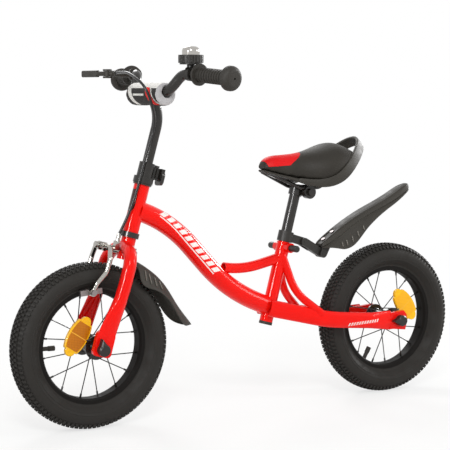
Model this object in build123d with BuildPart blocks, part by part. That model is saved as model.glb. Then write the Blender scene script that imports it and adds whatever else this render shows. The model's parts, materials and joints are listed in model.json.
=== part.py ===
"""Balance bike with 12 inch wheels, built as separate pieces in one frame.

+X is forward, +Y is the rider's left and +Z is up; millimetres.
The origin is on the ground, in the centre plane, midway between the axles.
"""
import os
from math import atan2, cos, degrees, radians, sin, tan

from build123d import *

UP = (Align.CENTER, Align.CENTER, Align.MIN)
RUN = 0.07           # radial clearance of a turning or sliding fit
SEAT = 0.02          # radial clearance of a fixed fit
FACE = 0.2           # gap between flat faces that slide past each other

# Wheels
WHEELBASE = 665.0
TYRE_R = 152.5       # 12 inch tyre
TYRE_W = 56.0
TYRE_H = 45.0        # height of the tyre over the rim's flanges
TYRE_WALL = 3.5
INNER_WALL = 1.7
RIM_W = 30.0
RIM_H = 11.5
RIM_WALL = 2.0
HUB_FLANGE_R = 22.0
HUB_FLANGE_Y = 27.0  # inner face of a flange
HUB_FLANGE_T = 3.0
HUB_BARREL_R = 13.0
HUB_END_Y = 36.0
AXLE_R = 5.0
AXLE_SHOULDER_R = 8.0
SPOKES = 16
SPOKE_R = 1.0
NIPPLE_R = 1.8
NIPPLE_L = 9.0
REFLECTOR_L = 78.0
REFLECTOR_W = 40.0
REFLECTOR_END_W = 28.0
REFLECTOR_LUG_R = 10.0
REFLECTOR_T = 6.0
REFLECTOR_AT = 43.0  # distance of its middle from the axle
VALVE_R = 4.0
VALVE_L = 26.0       # length that stands inside the rim

# Frame
HEAD_BEHIND = 84.0               # from the front axle back to the head tube's lower end
HEAD_ABOVE = 50.0                # from the top of the tyre up to that end
HEAD_RAKE = 15.75                # lean of the steering axis, degrees
HEAD_L = 89.0
HEAD_R = 14.7
TUBE_WALL = 1.8
CUP_R = 17.2
CUP_H = 10.0
TOP_CUP_H = 3.0
CUP_DEPTH = 8.0
SEAT_AHEAD = 285.5               # from the rear axle forward to the seat tube's lower end
SEAT_BELOW = 139.0               # from the top of the tyre down to that end
SEAT_LEAN = 15.0
SEAT_TUBE_L = 159.0
SEAT_TUBE_R = 13.0
DOWN_R = 18.5
BRACE_R = 10.0
STAY_R = 8.0
CHAIN_STAY_H = 32.0
CHAIN_STAY_W = 15.0
LUG_R = 9.5
LUG_W = 51.0
LUG_DOWN = 10.0      # from the seat tube's top down to the lug's middle
BOLT_R = 4.0
BOLT_CAP_R = 6.5
BOLT_SPAN = 97.0
PLUG_H = 6.0
REAR_DROP_Y = 48.0   # inner face of a rear dropout
REAR_DROP_T = 8.0

# Fork
STEER_R = 12.0
STEER_TOP = 118.0
CROWN_R = 13.5
CROWN_LOW = -52.0
LEG_R = 12.0
LEG_Y = 50.0
FORK_DROP_T = 8.0
FORK_DROP_W = 37.0
BRAKE_UP = -37.0     # height of the brake bolt along the steering axis
BRAKE_BOLT_R = 3.0
CAP_NUT_R = 11.0
CAP_NUT_TIP = 21.0
CAP_NUT_T = 13.0

# Stem, collar and handlebar
STEM_R = 9.75
STEM_LOW = 20.0
STEM_BEND = 225.5
STEM_BEND_R = 70.0
BAR_R = 9.5
BAR_WALL = 1.6
BAR_OVER = (19.21, 0.0, 34.966)     # from the stem's bend to the bar's middle
BAR_RISE_BY = (-19.5, 90.0, 38.0)
BAR_END_BY = (-47.5, 214.0, 27.0)
BAR_STRAIGHT = 62.0  # half of the straight middle
COLLAR_R = 18.5
COLLAR_SLEEVE_R = 14.5
COLLAR_FLANGE_TOP = 104.0
COLLAR_TOP = 131.0
PAD_R = 22.0
PAD_L = 120.0
GRIP_R = 12.6
GRIP_START = 39.5
GRIP_FLANGE_R = 19.5
GRIP_FLANGE_T = 4.0
GRIP_RIBS = 10
GRIP_RIB_R = 13.5
BULB_R = 22.0
CLAMP_AT = 19.0      # middle of the bell and lever clamps along the grip line
CLAMP_W = 10.0
CLAMP_R = 13.0

# Bell
BELL_UP = 16.5       # from the bar's middle to the bell's base plate
BELL_RING_R = 22.5
BELL_RING_H = 14.0
BELL_HUB_R = 14.0
BELL_DOME_R = 16.0
BELL_DOME_H = 15.0

# Brake lever
LEVER_BY = (25.5, -126.0, 38.0)   # lever's pivot from the bar's middle
LEVER_PIN_R = 3.0
LEVER_H = 10.0
LEVER_BOSS_R = 7.5
LEVER_L = 90.0
LEVER_BLADE_H = 13.0
LEVER_BLADE_T = 7.0
CABLE_R = 2.5

# Saddle and seat post
POST_R = 10.5
POST_LOW = 30.0      # lower end along the seat axis
POST_TOP = 268.0
TILT_BACK = 16.17    # saddle's tilt pivot behind the seat axis
TILT_DOWN = 3.81     # and below the post's top
RAIL_R = 3.5
RAIL_Y = 21.0
JAW_R = 13.0
JAW_W = 13.0
PAD_GAP = 0.3        # between the cushion and its shell
SHELL_ROOF = 4.0
SHELL_WALL = 4.0
LOOP_T = 6.0
LOOP_H = 22.0
LOOP_Y = 63.0        # middle of the loop's side legs
LOOP_RISE = 41.0

# Rear mudguard
STRAP_R = 15.0
STRAP_LOW = SEAT_TUBE_L + 1.0   # along the seat axis
STRAP_H = 20.0
LINK_BACK = 41.797   # link's first knuckle behind the seat axis
LINK_UP = 8.562      # and above the strap's lower edge
FOOT_BY = (-45.0, 0.0, -26.0)   # from the first knuckle to the second
KNUCKLE_R = 8.0
KNUCKLE_PIN_R = 2.5
BLADE_T = 2.5

AXLE_Z = TYRE_R
TYRE_TOP = 2 * TYRE_R
RIM_FLANGE_R = TYRE_R - TYRE_H
RIM_R = RIM_FLANGE_R - RIM_H   # inner face of the rim
FRONT_X = WHEELBASE / 2
REAR_X = -WHEELBASE / 2
HEAD_LOW = (FRONT_X - HEAD_BEHIND, 0.0, TYRE_TOP + HEAD_ABOVE)
SEAT_LOW = (REAR_X + SEAT_AHEAD, 0.0, TYRE_TOP - SEAT_BELOW)
LUG_UP = SEAT_TUBE_L - LUG_DOWN


def leaning(origin, lean):
    """Plane whose Z leans back by lean degrees and whose X points forward."""
    a = radians(lean)
    return Plane(origin=origin, x_dir=(cos(a), 0, sin(a)), z_dir=(-sin(a), 0, cos(a)))


HEAD = leaning(HEAD_LOW, HEAD_RAKE)
SEATING = leaning(SEAT_LOW, SEAT_LEAN)


def head(f, y, s):
    return HEAD.from_local_coords(Vector(f, y, s))


def seating(f, y, s):
    return SEATING.from_local_coords(Vector(f, y, s))


def moved(point, by):
    return (point[0] + by[0], point[1] + by[1], point[2] + by[2])


def mirrored(point):
    return (point[0], -point[1], point[2])


BAR_MID = moved(tuple(head(0, 0, STEM_BEND)), BAR_OVER)
BAR_RISE = moved(BAR_MID, BAR_RISE_BY)
BAR_END = moved(BAR_MID, BAR_END_BY)
LEVER_AT = moved(BAR_MID, LEVER_BY)
TILT_AT = tuple(seating(-TILT_BACK, 0, POST_TOP - TILT_DOWN))
LINK_AT = tuple(seating(-LINK_BACK, 0, STRAP_LOW + LINK_UP))
FOOT_AT = moved(LINK_AT, FOOT_BY)


def eased(points, bends):
    """Bend radii, each no larger than the straight runs beside it leave room for."""
    runs = [Vector(*b) - Vector(*a) for a, b in zip(points, points[1:])]
    room = [run.length * (0.95 if i in (0, len(runs) - 1) else 0.5) for i, run in enumerate(runs)]
    fitted = []
    for i, bend in enumerate(bends):
        half_turn = radians(runs[i].get_angle(runs[i + 1])) / 2
        fitted.append(min(bend, min(room[i], room[i + 1]) / tan(half_turn)))
    return fitted


def swept(points, bends, radius):
    """Round bar along straight runs joined by tangent arcs."""
    with BuildPart() as bar:
        with BuildLine() as path:
            if len(points) > 2:
                FilletPolyline(*points, radius=eased(points, bends))
            else:
                Line(*points)
        with BuildSketch(Plane(origin=path.line @ 0, z_dir=path.line % 0)):
            Circle(radius)
        sweep(path=path.line)
    return bar.part


def post(plane, low, high, radius):
    with BuildPart(plane) as rod:
        with Locations((0, 0, low)):
            Cylinder(radius, high - low, align=UP)
    return rod.part


def across(x, z, y0, y1, radius):
    """Round bar along Y."""
    with BuildPart(Plane(origin=(x, y0, z), z_dir=(0, 1, 0))) as rod:
        Cylinder(radius, y1 - y0, align=UP)
    return rod.part


def keep(part, name):
    part.label = name
    export_step(part, f"parts/{name}.step")


os.makedirs("parts", exist_ok=True)


def spun(x, outline):
    """Ring about an axle; outline is (lateral, radius) points."""
    with BuildPart() as ring:
        with BuildSketch(Plane(origin=(x, 0, AXLE_Z), x_dir=(0, 1, 0), z_dir=(1, 0, 0))):
            with BuildLine():
                outline()
            make_face()
        revolve(axis=Axis((x, 0, AXLE_Z), (0, 1, 0)))
    return ring.part


BEAD_R = RIM_R + 2 * RIM_WALL + 1.0
BEAD_Y = RIM_W / 2 - RIM_WALL - 0.3


def rim_outline():
    w = RIM_W / 2
    half = [
        (0, RIM_R + RIM_WALL),
        (w - 6, RIM_R + RIM_WALL),
        (w - RIM_WALL, BEAD_R - 1.0),
        (w - RIM_WALL, RIM_FLANGE_R),
        (w, RIM_FLANGE_R),
        (w, RIM_R + 3),
        (w - 5, RIM_R),
        (0, RIM_R),
    ]
    Polyline(*half, *[(-a, r) for a, r in reversed(half[1:-1])], close=True)


def tyre_half(inset, lift=0.0):
    """Bead, sidewall and crown points of one half, moved inwards by inset."""
    bead = (BEAD_Y - inset * 0.8, BEAD_R + lift)
    neck = (BEAD_Y - inset * 0.8, RIM_FLANGE_R + 0.8 + inset * 0.5)
    wide = (TYRE_W / 2 - inset, (TYRE_R + RIM_FLANGE_R) / 2)
    edge = (TYRE_W / 2 - 8.0 - inset * 0.8, TYRE_R - 6.5 - inset * 0.8)
    crown = (0, TYRE_R - inset)
    return bead, neck, wide, edge, crown


def half_section(inset, lift=0.0):
    bead, neck, wide, edge, crown = tyre_half(inset, lift)
    flip = [(-a, r) for a, r in (bead, neck, wide, edge)]
    Line(bead, neck)
    ThreePointArc(neck, wide, edge)
    ThreePointArc(edge, crown, flip[3])
    ThreePointArc(flip[3], flip[2], flip[1])
    Line(flip[1], flip[0])


def tyre_outline():
    half_section(0)
    half_section(TYRE_WALL)
    outer, inner = tyre_half(0)[0], tyre_half(TYRE_WALL)[0]
    Line(outer, inner)
    Line(mirror_2d(outer), mirror_2d(inner))


def mirror_2d(point):
    return (-point[0], point[1])


def tube_outline(inset, lift=0.0):
    """Closed section of the inner tube; lift raises its flat inner side."""
    def draw():
        half_section(inset, lift)
        end = tyre_half(inset, lift)[0]
        Line(end, mirror_2d(end))
    return draw


def hub_outline():
    y1, y2 = HUB_FLANGE_Y, HUB_FLANGE_Y + HUB_FLANGE_T
    bore = AXLE_R + RUN
    half = [
        (0, HUB_BARREL_R),
        (y1 - 4, HUB_BARREL_R),
        (y1, HUB_BARREL_R + 3),
        (y1, HUB_FLANGE_R),
        (y2, HUB_FLANGE_R),
        (y2, HUB_BARREL_R),
        (HUB_END_Y, HUB_BARREL_R - 2),
        (HUB_END_Y, bore),
    ]
    Polyline(*half, *[(-a, r) for a, r in reversed(half[1:])], close=True)


def polar(x, y, r, angle):
    a = radians(angle)
    return (x + r * cos(a), y, AXLE_Z + r * sin(a))


def spoke_set(x, phase, hub, rim):
    """Crossed spokes with their nipples, cut to the hub and the rim."""
    with BuildPart() as spokes:
        for i in range(SPOKES):
            side = 1 if i % 2 == 0 else -1
            turn = 1 if (i // 2) % 2 == 0 else -1
            angle = phase + i * 360 / SPOKES
            outside = HUB_FLANGE_Y + HUB_FLANGE_T + 2.3 * SPOKE_R
            inside = HUB_FLANGE_Y - 1.05 * SPOKE_R
            y0 = outside if turn > 0 else inside
            p0 = Vector(*polar(x, side * y0, HUB_FLANGE_R - 3, angle + turn * 38))
            p1 = Vector(*polar(x, side * 2.5, RIM_R + 1.0, angle))
            run = p1 - p0
            with Locations(Plane(origin=p0, z_dir=run).location):
                Cylinder(SPOKE_R, run.length, align=UP)
            with Locations(Plane(origin=p1 - run.normalized() * NIPPLE_L, z_dir=run).location):
                Cylinder(NIPPLE_R, NIPPLE_L, align=UP)
        add(hub, mode=Mode.SUBTRACT)
        add(rim, mode=Mode.SUBTRACT)
    return spokes.part


def wheel(prefix, x, phase, reflector_angle, valve_angle):
    """Tyre, inner tube with valve, rim, hub, spokes and reflector of one wheel."""
    valve_out = polar(x, 0, RIM_R - VALVE_L, valve_angle)
    valve_in = Vector(*polar(x, 0, BEAD_R + 1, valve_angle))
    valve_run = valve_in - Vector(*valve_out)
    valve_plane = Plane(origin=valve_out, z_dir=valve_run)

    tyre = spun(x, tyre_outline)
    hub = spun(x, hub_outline)
    with BuildPart() as rim:
        add(spun(x, rim_outline))
        add(post(valve_plane, 0, valve_run.length, VALVE_R + SEAT), mode=Mode.SUBTRACT)
    with BuildPart() as inner_tube:
        add(spun(x, tube_outline(TYRE_WALL + 0.3)))
        add(spun(x, tube_outline(TYRE_WALL + 0.3 + INNER_WALL, INNER_WALL)), mode=Mode.SUBTRACT)
        add(post(valve_plane, 0, valve_run.length, VALVE_R))
        add(post(valve_plane, 0, 12.0, VALVE_R + 0.8))
    spokes = spoke_set(x, phase, hub, rim.part)

    middle = polar(x, HUB_FLANGE_Y - 3.0, REFLECTOR_AT, reflector_angle)
    chord = radians(reflector_angle + 90)
    face = Plane(origin=middle, x_dir=(cos(chord), 0, sin(chord)), z_dir=(0, 1, 0))
    bulge, end = REFLECTOR_W / 2, REFLECTOR_END_W / 2
    cut = REFLECTOR_L / 2 - REFLECTOR_LUG_R
    with BuildPart() as reflector:
        with BuildSketch(face):
            with BuildLine():
                ThreePointArc((-cut, end), (0, bulge), (cut, end))
                Line((cut, end), (cut, -end))
                ThreePointArc((cut, -end), (0, -bulge), (-cut, -end))
                Line((-cut, -end), (-cut, end))
            make_face()
            fillet(vertices(), 3.0)
            with Locations((-cut, 0), (cut, 0)):
                Circle(REFLECTOR_LUG_R)
        extrude(amount=REFLECTOR_T)
        chamfer(faces().sort_by(Axis.Y)[-1].edges(), 1.0)
        with BuildSketch(face):
            Rectangle(REFLECTOR_L * 0.6, 10.0)
        extrude(amount=-7.0)
        add(spokes, mode=Mode.SUBTRACT)
        add(hub, mode=Mode.SUBTRACT)
    keep(tyre, f"{prefix}_tyre")
    keep(hub, f"{prefix}_hub")
    keep(rim.part, f"{prefix}_rim")
    keep(inner_tube.part, f"{prefix}_inner_tube")
    keep(spokes, f"{prefix}_spokes")
    keep(reflector.part, f"{prefix}_reflector")


wheel("front", FRONT_X, 12.5, 33.0, 1.0)
wheel("rear", REAR_X, 17.5, 142.0, -60.0)


def slot_plate(p, q, radius, y0, y1):
    """Flat bar with round ends from p to q in the XZ plane, between y0 and y1."""
    run = Vector(q[0] - p[0], 0, q[2] - p[2])
    with BuildPart() as bar:
        with BuildSketch(Plane(origin=(p[0], y0, p[2]), x_dir=run, z_dir=(0, 1, 0))):
            with Locations((run.length / 2, 0)):
                SlotCenterToCenter(run.length, 2 * radius)
        extrude(amount=y1 - y0)
    return bar.part


# Head tube, headset and the frame's tubes
head_bore = STEER_R + 0.6
cup_bore = STEER_R + RUN
seat_bore = POST_R + RUN
head_core = post(HEAD, 0, HEAD_L, HEAD_R)
seat_core = post(SEATING, 0, SEAT_TUBE_L, SEAT_TUBE_R)

with BuildPart() as head_tube:
    add(head_core)
    add(post(HEAD, 0, HEAD_L, head_bore), mode=Mode.SUBTRACT)
keep(head_tube.part, "head_tube")

with BuildPart() as headset_cups:
    add(post(HEAD, -CUP_H, 0, CUP_R))
    add(post(HEAD, -CUP_H, CUP_DEPTH, head_bore - SEAT))
    add(post(HEAD, HEAD_L, HEAD_L + TOP_CUP_H, CUP_R))
    add(post(HEAD, HEAD_L - CUP_DEPTH, HEAD_L + TOP_CUP_H, head_bore - SEAT))
    add(post(HEAD, -CUP_H, HEAD_L + TOP_CUP_H, cup_bore), mode=Mode.SUBTRACT)
keep(headset_cups.part, "headset_cups")

LUG_BACK = 2.0
lug_at = seating(-LUG_BACK, 0, LUG_UP)
lug_holes = across(lug_at.X, lug_at.Z, -LUG_W / 2, LUG_W / 2, BOLT_R + SEAT)
with BuildPart() as seat_tube:
    add(seat_core)
    add(post(SEATING, 0, SEAT_TUBE_L, seat_bore), mode=Mode.SUBTRACT)
    add(lug_holes, mode=Mode.SUBTRACT)
keep(seat_tube.part, "seat_tube")

with BuildPart() as seat_tube_plug:
    add(post(SEATING, -PLUG_H, 0, SEAT_TUBE_R))
    add(post(SEATING, 0, 2 * PLUG_H, seat_bore - SEAT))
keep(seat_tube_plug.part, "seat_tube_plug")

DOWN_PATH = [tuple(head(-3.82, 0, 41.7)), tuple(head(-74.37, 0, 36.56))]
DOWN_PATH += [tuple(seating(102.86, 0, 43.87)), tuple(seating(9.14, 0, 30.26))]
DOWN_BENDS = [260, 320]
down_core = swept(DOWN_PATH, DOWN_BENDS, DOWN_R)
with BuildPart() as down_tube:
    add(down_core)
    add(swept(DOWN_PATH, DOWN_BENDS, DOWN_R - TUBE_WALL), mode=Mode.SUBTRACT)
    add(head_core, mode=Mode.SUBTRACT)
    add(seat_core, mode=Mode.SUBTRACT)
keep(down_tube.part, "down_tube")

down_run = (Vector(*DOWN_PATH[2]) - Vector(*DOWN_PATH[1])).normalized()
brace_start = Vector(*DOWN_PATH[2]) - down_run * 37.3 + down_run.cross(Vector(0, 1, 0)) * -22.45
BRACE_PATH = [tuple(brace_start), tuple(seating(77.4, 0, SEAT_TUBE_L - 71.04))]
BRACE_PATH += [tuple(seating(2.86, 0, SEAT_TUBE_L - 32.42))]
with BuildPart() as brace_tube:
    add(swept(BRACE_PATH, [200], BRACE_R))
    add(swept(BRACE_PATH, [200], BRACE_R - TUBE_WALL), mode=Mode.SUBTRACT)
    add(down_core, mode=Mode.SUBTRACT)
    add(seat_core, mode=Mode.SUBTRACT)
keep(brace_tube.part, "brace_tube")


def chain_points(side):
    start = seating(10.14, side * 19, 26.27)
    waist = (REAR_X + 167.5, side * 45.5, AXLE_Z + 13)
    return [tuple(start), waist, (REAR_X + 68.5, side * 51, AXLE_Z + 4.5)]


def chain_stay(side, inset):
    """Flattened tube from the seat tube to the rear dropout; inset thins the section."""
    points = chain_points(side)
    with BuildPart() as stay:
        with BuildLine() as path:
            FilletPolyline(*points, radius=eased(points, [300]))
        plane = Plane(origin=path.line @ 0, x_dir=(0, 0, 1), z_dir=path.line % 0)
        with BuildSketch(plane):
            Ellipse(CHAIN_STAY_H / 2 - inset, CHAIN_STAY_W / 2 - inset)
        sweep(path=path.line)
    return stay.part


def rear_end(side):
    """Flattened end of a chain stay with its dropout."""
    mid = REAR_DROP_Y + REAR_DROP_T / 2
    x = REAR_X
    with BuildPart() as end:
        with BuildSketch(Plane(origin=(x + 70, side * 51, AXLE_Z + 4.5), x_dir=(0, 0, 1), z_dir=(1, 0, 0))):
            Ellipse(CHAIN_STAY_H / 2, CHAIN_STAY_W / 2)
        with BuildSketch(Plane(origin=(x + 22, side * mid, AXLE_Z + 1.5), x_dir=(0, 0, 1), z_dir=(1, 0, 0))):
            Ellipse(19.5, REAR_DROP_T / 2)
        loft()
        with BuildSketch(Plane(origin=(x, side * mid, AXLE_Z), x_dir=(1, 0, 0), z_dir=(0, 1, 0))):
            Polygon((24, -16.5), (24, 15.5), (-14, 20), (-18, 4), (-17, -11), (-10, -19.5), align=None)
        extrude(amount=REAR_DROP_T / 2, both=True)
        add(across(x, AXLE_Z, -80, 80, AXLE_R + SEAT), mode=Mode.SUBTRACT)
    return end.part


for side, name in ((1, "chain_stay_left"), (-1, "chain_stay_right")):
    with BuildPart() as stay:
        add(chain_stay(side, 0))
        add(chain_stay(side, TUBE_WALL), mode=Mode.SUBTRACT)
        add(rear_end(side))
        add(down_core, mode=Mode.SUBTRACT)
        add(seat_core, mode=Mode.SUBTRACT)
    keep(stay.part, name)


def seat_stay(side):
    """Curved tube from the seat tube down to one chain stay."""
    top, waist = (Vector(*point) for point in chain_points(side)[:2])
    foot = top + (waist - top) * 0.876 + Vector(0, side * 1.8, 9)
    route = [seating(3.26, side * 5, SEAT_TUBE_L - 23.22), seating(-36.49, side * 22, 67.44), foot]
    with BuildPart() as tube:
        add(swept(route, [100], STAY_R))
        add(swept(route, [100], STAY_R - TUBE_WALL), mode=Mode.SUBTRACT)
        add(seat_core, mode=Mode.SUBTRACT)
        add(chain_stay(side, 0), mode=Mode.SUBTRACT)
    return tube.part.solids().sort_by(SortBy.VOLUME)[-1]


with BuildPart() as seat_stays:
    for side in (1, -1):
        add(seat_stay(side))
keep(seat_stays.part, "seat_stays")

# Seat clamp: a boss on each side of the seat tube, with a capped screw that bears on the post
with BuildPart() as seat_clamp_lug:
    add(across(lug_at.X, lug_at.Z, -LUG_W / 2, LUG_W / 2, LUG_R))
    add(lug_holes, mode=Mode.SUBTRACT)
    add(seat_core, mode=Mode.SUBTRACT)
keep(seat_clamp_lug.part, "seat_clamp_lug")

with BuildPart() as seat_clamp_bolts:
    for side in (1, -1):
        shank = sorted((side * (POST_R + 0.4), side * (BOLT_SPAN / 2 - 2)))
        cap = sorted((side * LUG_W / 2, side * BOLT_SPAN / 2))
        add(across(lug_at.X, lug_at.Z, *shank, BOLT_R))
        add(across(lug_at.X, lug_at.Z, *cap, BOLT_CAP_R))
    fillet(faces().filter_by(Axis.Y).group_by(Axis.Y)[0].edges(), 2.5)
    fillet(faces().filter_by(Axis.Y).group_by(Axis.Y)[-1].edges(), 2.5)
keep(seat_clamp_bolts.part, "seat_clamp_bolts")


def axle(x, drop_y, drop_t):
    """Stepped axle: shoulders hold the hub between the dropouts."""
    with BuildPart() as rod:
        end = drop_y + drop_t + CAP_NUT_T - 4
        add(across(x, AXLE_Z, -end, end, AXLE_R))
        for y0, y1 in ((HUB_END_Y + FACE, drop_y), (-drop_y, -HUB_END_Y - FACE)):
            add(across(x, AXLE_Z, y0, y1, AXLE_SHOULDER_R))
    return rod.part


def cap_nuts(x, drop_y, drop_t, angle):
    """Pair of teardrop cap nuts; angle turns the point from +X towards +Z."""
    a = radians(angle)
    outer = drop_y + drop_t
    with BuildPart() as nuts:
        for side in (1, -1):
            face = Plane(origin=(x, side * outer, AXLE_Z), x_dir=(cos(a), 0, sin(a)), z_dir=(0, side, 0))
            with BuildSketch(face):
                Circle(CAP_NUT_R)
                with BuildLine():
                    Polyline((0, -CAP_NUT_R * 0.98), (CAP_NUT_TIP, 0), (0, CAP_NUT_R * 0.98), close=True)
                make_face()
            extrude(amount=CAP_NUT_T)
        for group in (0, -1):
            chamfer(faces().filter_by(Axis.Y).group_by(Axis.Y)[group].edges(), 2.5)
        add(axle(x, drop_y, drop_t), mode=Mode.SUBTRACT)
    return nuts.part


keep(axle(REAR_X, REAR_DROP_Y, REAR_DROP_T), "rear_axle")
keep(cap_nuts(REAR_X, REAR_DROP_Y, REAR_DROP_T, 0), "rear_axle_nuts")

# Fork
fork_drop_y = LEG_Y - FORK_DROP_T / 2
axle_local = HEAD.to_local_coords(Vector(FRONT_X, 0, AXLE_Z))
bolt_plane = Plane(origin=head(0, 0, BRAKE_UP), z_dir=HEAD.x_dir)
bolt_hole = post(bolt_plane, -60, 90, BRAKE_BOLT_R + SEAT)
crown_core = post(HEAD, CROWN_LOW, -CUP_H - FACE, CROWN_R)
stem_bore = STEM_R + RUN

with BuildPart() as fork_steerer:
    add(crown_core)
    add(post(HEAD, CROWN_LOW, STEER_TOP, STEER_R))
    add(post(HEAD, CROWN_LOW + 22, STEER_TOP, stem_bore), mode=Mode.SUBTRACT)
    add(bolt_hole, mode=Mode.SUBTRACT)
keep(fork_steerer.part, "fork_steerer")


def fork_leg(side, inset):
    """Leg tube from the crown outwards and down to where it flattens."""
    route = [head(3, 0, -27), head(11, side * LEG_Y, -42)]
    low = axle_local.Z
    route += [head(11, side * LEG_Y, low + 122), head(12.8, side * LEG_Y, low + 93)]
    return swept(route, [42, 120], LEG_R - inset)


def fork_end(side):
    """Flattened end of a fork leg with its dropout."""
    low = axle_local.Z
    with BuildPart() as end:
        with BuildSketch(HEAD.offset(low + 95)):
            with Locations((12.7, side * LEG_Y)):
                Circle(LEG_R + 0.5)
        with BuildSketch(HEAD.offset(low + 26)):
            with Locations((axle_local.X - 2.5, side * LEG_Y)):
                Ellipse(FORK_DROP_W / 2 - 0.5, FORK_DROP_T / 2)
        loft()
        with BuildSketch(Plane(origin=head(0, side * LEG_Y, 0), x_dir=HEAD.x_dir, z_dir=(0, -1, 0))):
            with Locations((axle_local.X - 1, low + 10)):
                RectangleRounded(FORK_DROP_W, 46, 8)
        extrude(amount=FORK_DROP_T / 2, both=True)
        add(across(FRONT_X, AXLE_Z, -80, 80, AXLE_R + SEAT), mode=Mode.SUBTRACT)
    return end.part


for side, name in ((1, "fork_leg_left"), (-1, "fork_leg_right")):
    with BuildPart() as leg:
        add(fork_leg(side, 0))
        add(fork_leg(side, TUBE_WALL), mode=Mode.SUBTRACT)
        add(fork_end(side))
        split(bisect_by=Plane.XZ, keep=Keep.BOTTOM if side > 0 else Keep.TOP)
        add(crown_core, mode=Mode.SUBTRACT)
        add(bolt_hole, mode=Mode.SUBTRACT)
    keep(leg.part, name)

keep(axle(FRONT_X, fork_drop_y, FORK_DROP_T), "front_axle")
keep(cap_nuts(FRONT_X, fork_drop_y, FORK_DROP_T, 80), "front_axle_nuts")

# Mudguard blades are thin roofs: a flat top with two sloping skirts
def roof(plane, top, skirt, drop):
    """One section: half width of the top, half width at the skirt's edge, depth."""
    t = BLADE_T
    with BuildSketch(plane) as section:
        Polygon(
            (-skirt, -drop), (-top, 0), (top, 0), (skirt, -drop),
            (skirt - 1.1 * t, -drop), (top - 0.5 * t, -t), (0.5 * t - top, -t), (1.1 * t - skirt, -drop),
            align=None,
        )
    return section.sketch


def blade(sections):
    with BuildPart() as shell:
        for plane, top, skirt, drop in sections:
            add(roof(plane, top, skirt, drop))
        loft(ruled=True)
    return shell.part


# The front guard starts at the crown: then angle past that start, height over the tyre,
# half widths of top and skirt, depth
guard_start = head(-21.5, 0, -49.7) - Vector(FRONT_X, 0, AXLE_Z)
start_angle = degrees(atan2(-guard_start.X, guard_start.Z))
FRONT_GUARD = [(start_angle, guard_start.length, 13, 16, 10)]
FRONT_GUARD += [
    (start_angle + turn, TYRE_R + above, top, skirt, depth)
    for turn, above, top, skirt, depth in (
        (6.5, 24, 16, 34.5, 38),
        (15.5, 27, 17, 35, 42),
        (22.5, 29.5, 17, 34, 30),
        (30.5, 33.5, 16, 31, 22),
        (40.5, 40.5, 14, 29, 20),
        (48.5, 51.5, 10, 23, 17),
        (53.5, 61.5, 2.5, 5, 5),
    )
]


def guard_plane(angle, radius):
    a = radians(angle)
    out = Vector(-sin(a), 0, cos(a))
    origin = Vector(FRONT_X, 0, AXLE_Z) + out * radius
    return Plane(origin=origin, x_dir=(0, 1, 0), z_dir=Vector(0, 1, 0).cross(out))


TAB_BACK = CROWN_R + 3.0
with BuildPart() as front_mudguard:
    add(blade([(guard_plane(a, r), t, k, d) for a, r, t, k, d in FRONT_GUARD]))
    with Locations(HEAD.location * Location((-TAB_BACK, 0, BRAKE_UP - 15))):
        Box(2.9, 18, 25, align=(Align.MIN, Align.CENTER, Align.MIN))
    with Locations(HEAD.location * Location((-TAB_BACK - 5, 0, BRAKE_UP - 20))):
        Box(7.9, 18, 10, align=(Align.MIN, Align.CENTER, Align.MIN))
    add(bolt_hole, mode=Mode.SUBTRACT)
    add(crown_core, mode=Mode.SUBTRACT)
keep(front_mudguard.part, "front_mudguard")

# Rim brake: bolt with its sleeve and cable stop, two arms, two shoes
SLEEVE_R = 6.0
SLEEVE_FROM = 17.0
SLEEVE_TO = 40.0
ARM_R = 4.5
ARM_EYE_R = 8.0
ARM_EYE_T = 6.0
LEFT_EYE = SLEEVE_TO + 2.0
RIGHT_EYE = LEFT_EYE + ARM_EYE_T + 3.6
STOP_AT = (24.0, 5.0)
STOP_TOP = -8.0
STOP_R = 4.0
SHOE_GAP = 2.6
SHOE_L = 43.0
SHOE_T = 9.0
SHOE_H = 10.0
SHOE_X = FRONT_X + 8.0
SHOE_Z = AXLE_Z + RIM_R + RIM_H / 2 - 0.7
SHOE_Y = RIM_W / 2 + SHOE_GAP
STUD_R = 3.0
SHOE_EYE_R = 7.0

with BuildPart() as brake_bolt:
    add(post(bolt_plane, -TAB_BACK - 5, RIGHT_EYE + ARM_EYE_T + 7, BRAKE_BOLT_R))
    add(post(bolt_plane, -TAB_BACK - 5, -TAB_BACK - 0.1, 5.5))
    add(post(bolt_plane, SLEEVE_FROM, SLEEVE_TO, SLEEVE_R))
    add(post(bolt_plane, RIGHT_EYE + ARM_EYE_T + 2.5, RIGHT_EYE + ARM_EYE_T + 7, 6.0))
    with Locations(HEAD.location * Location((STOP_AT[0], STOP_AT[1] - 1.5, BRAKE_UP))):
        Box(8, 11, 15, align=UP)
    with Locations(HEAD.location * Location((*STOP_AT, BRAKE_UP + 12))):
        Cylinder(STOP_R, STOP_TOP - BRAKE_UP - 12, align=UP)
keep(brake_bolt.part, "brake_bolt")


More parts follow.
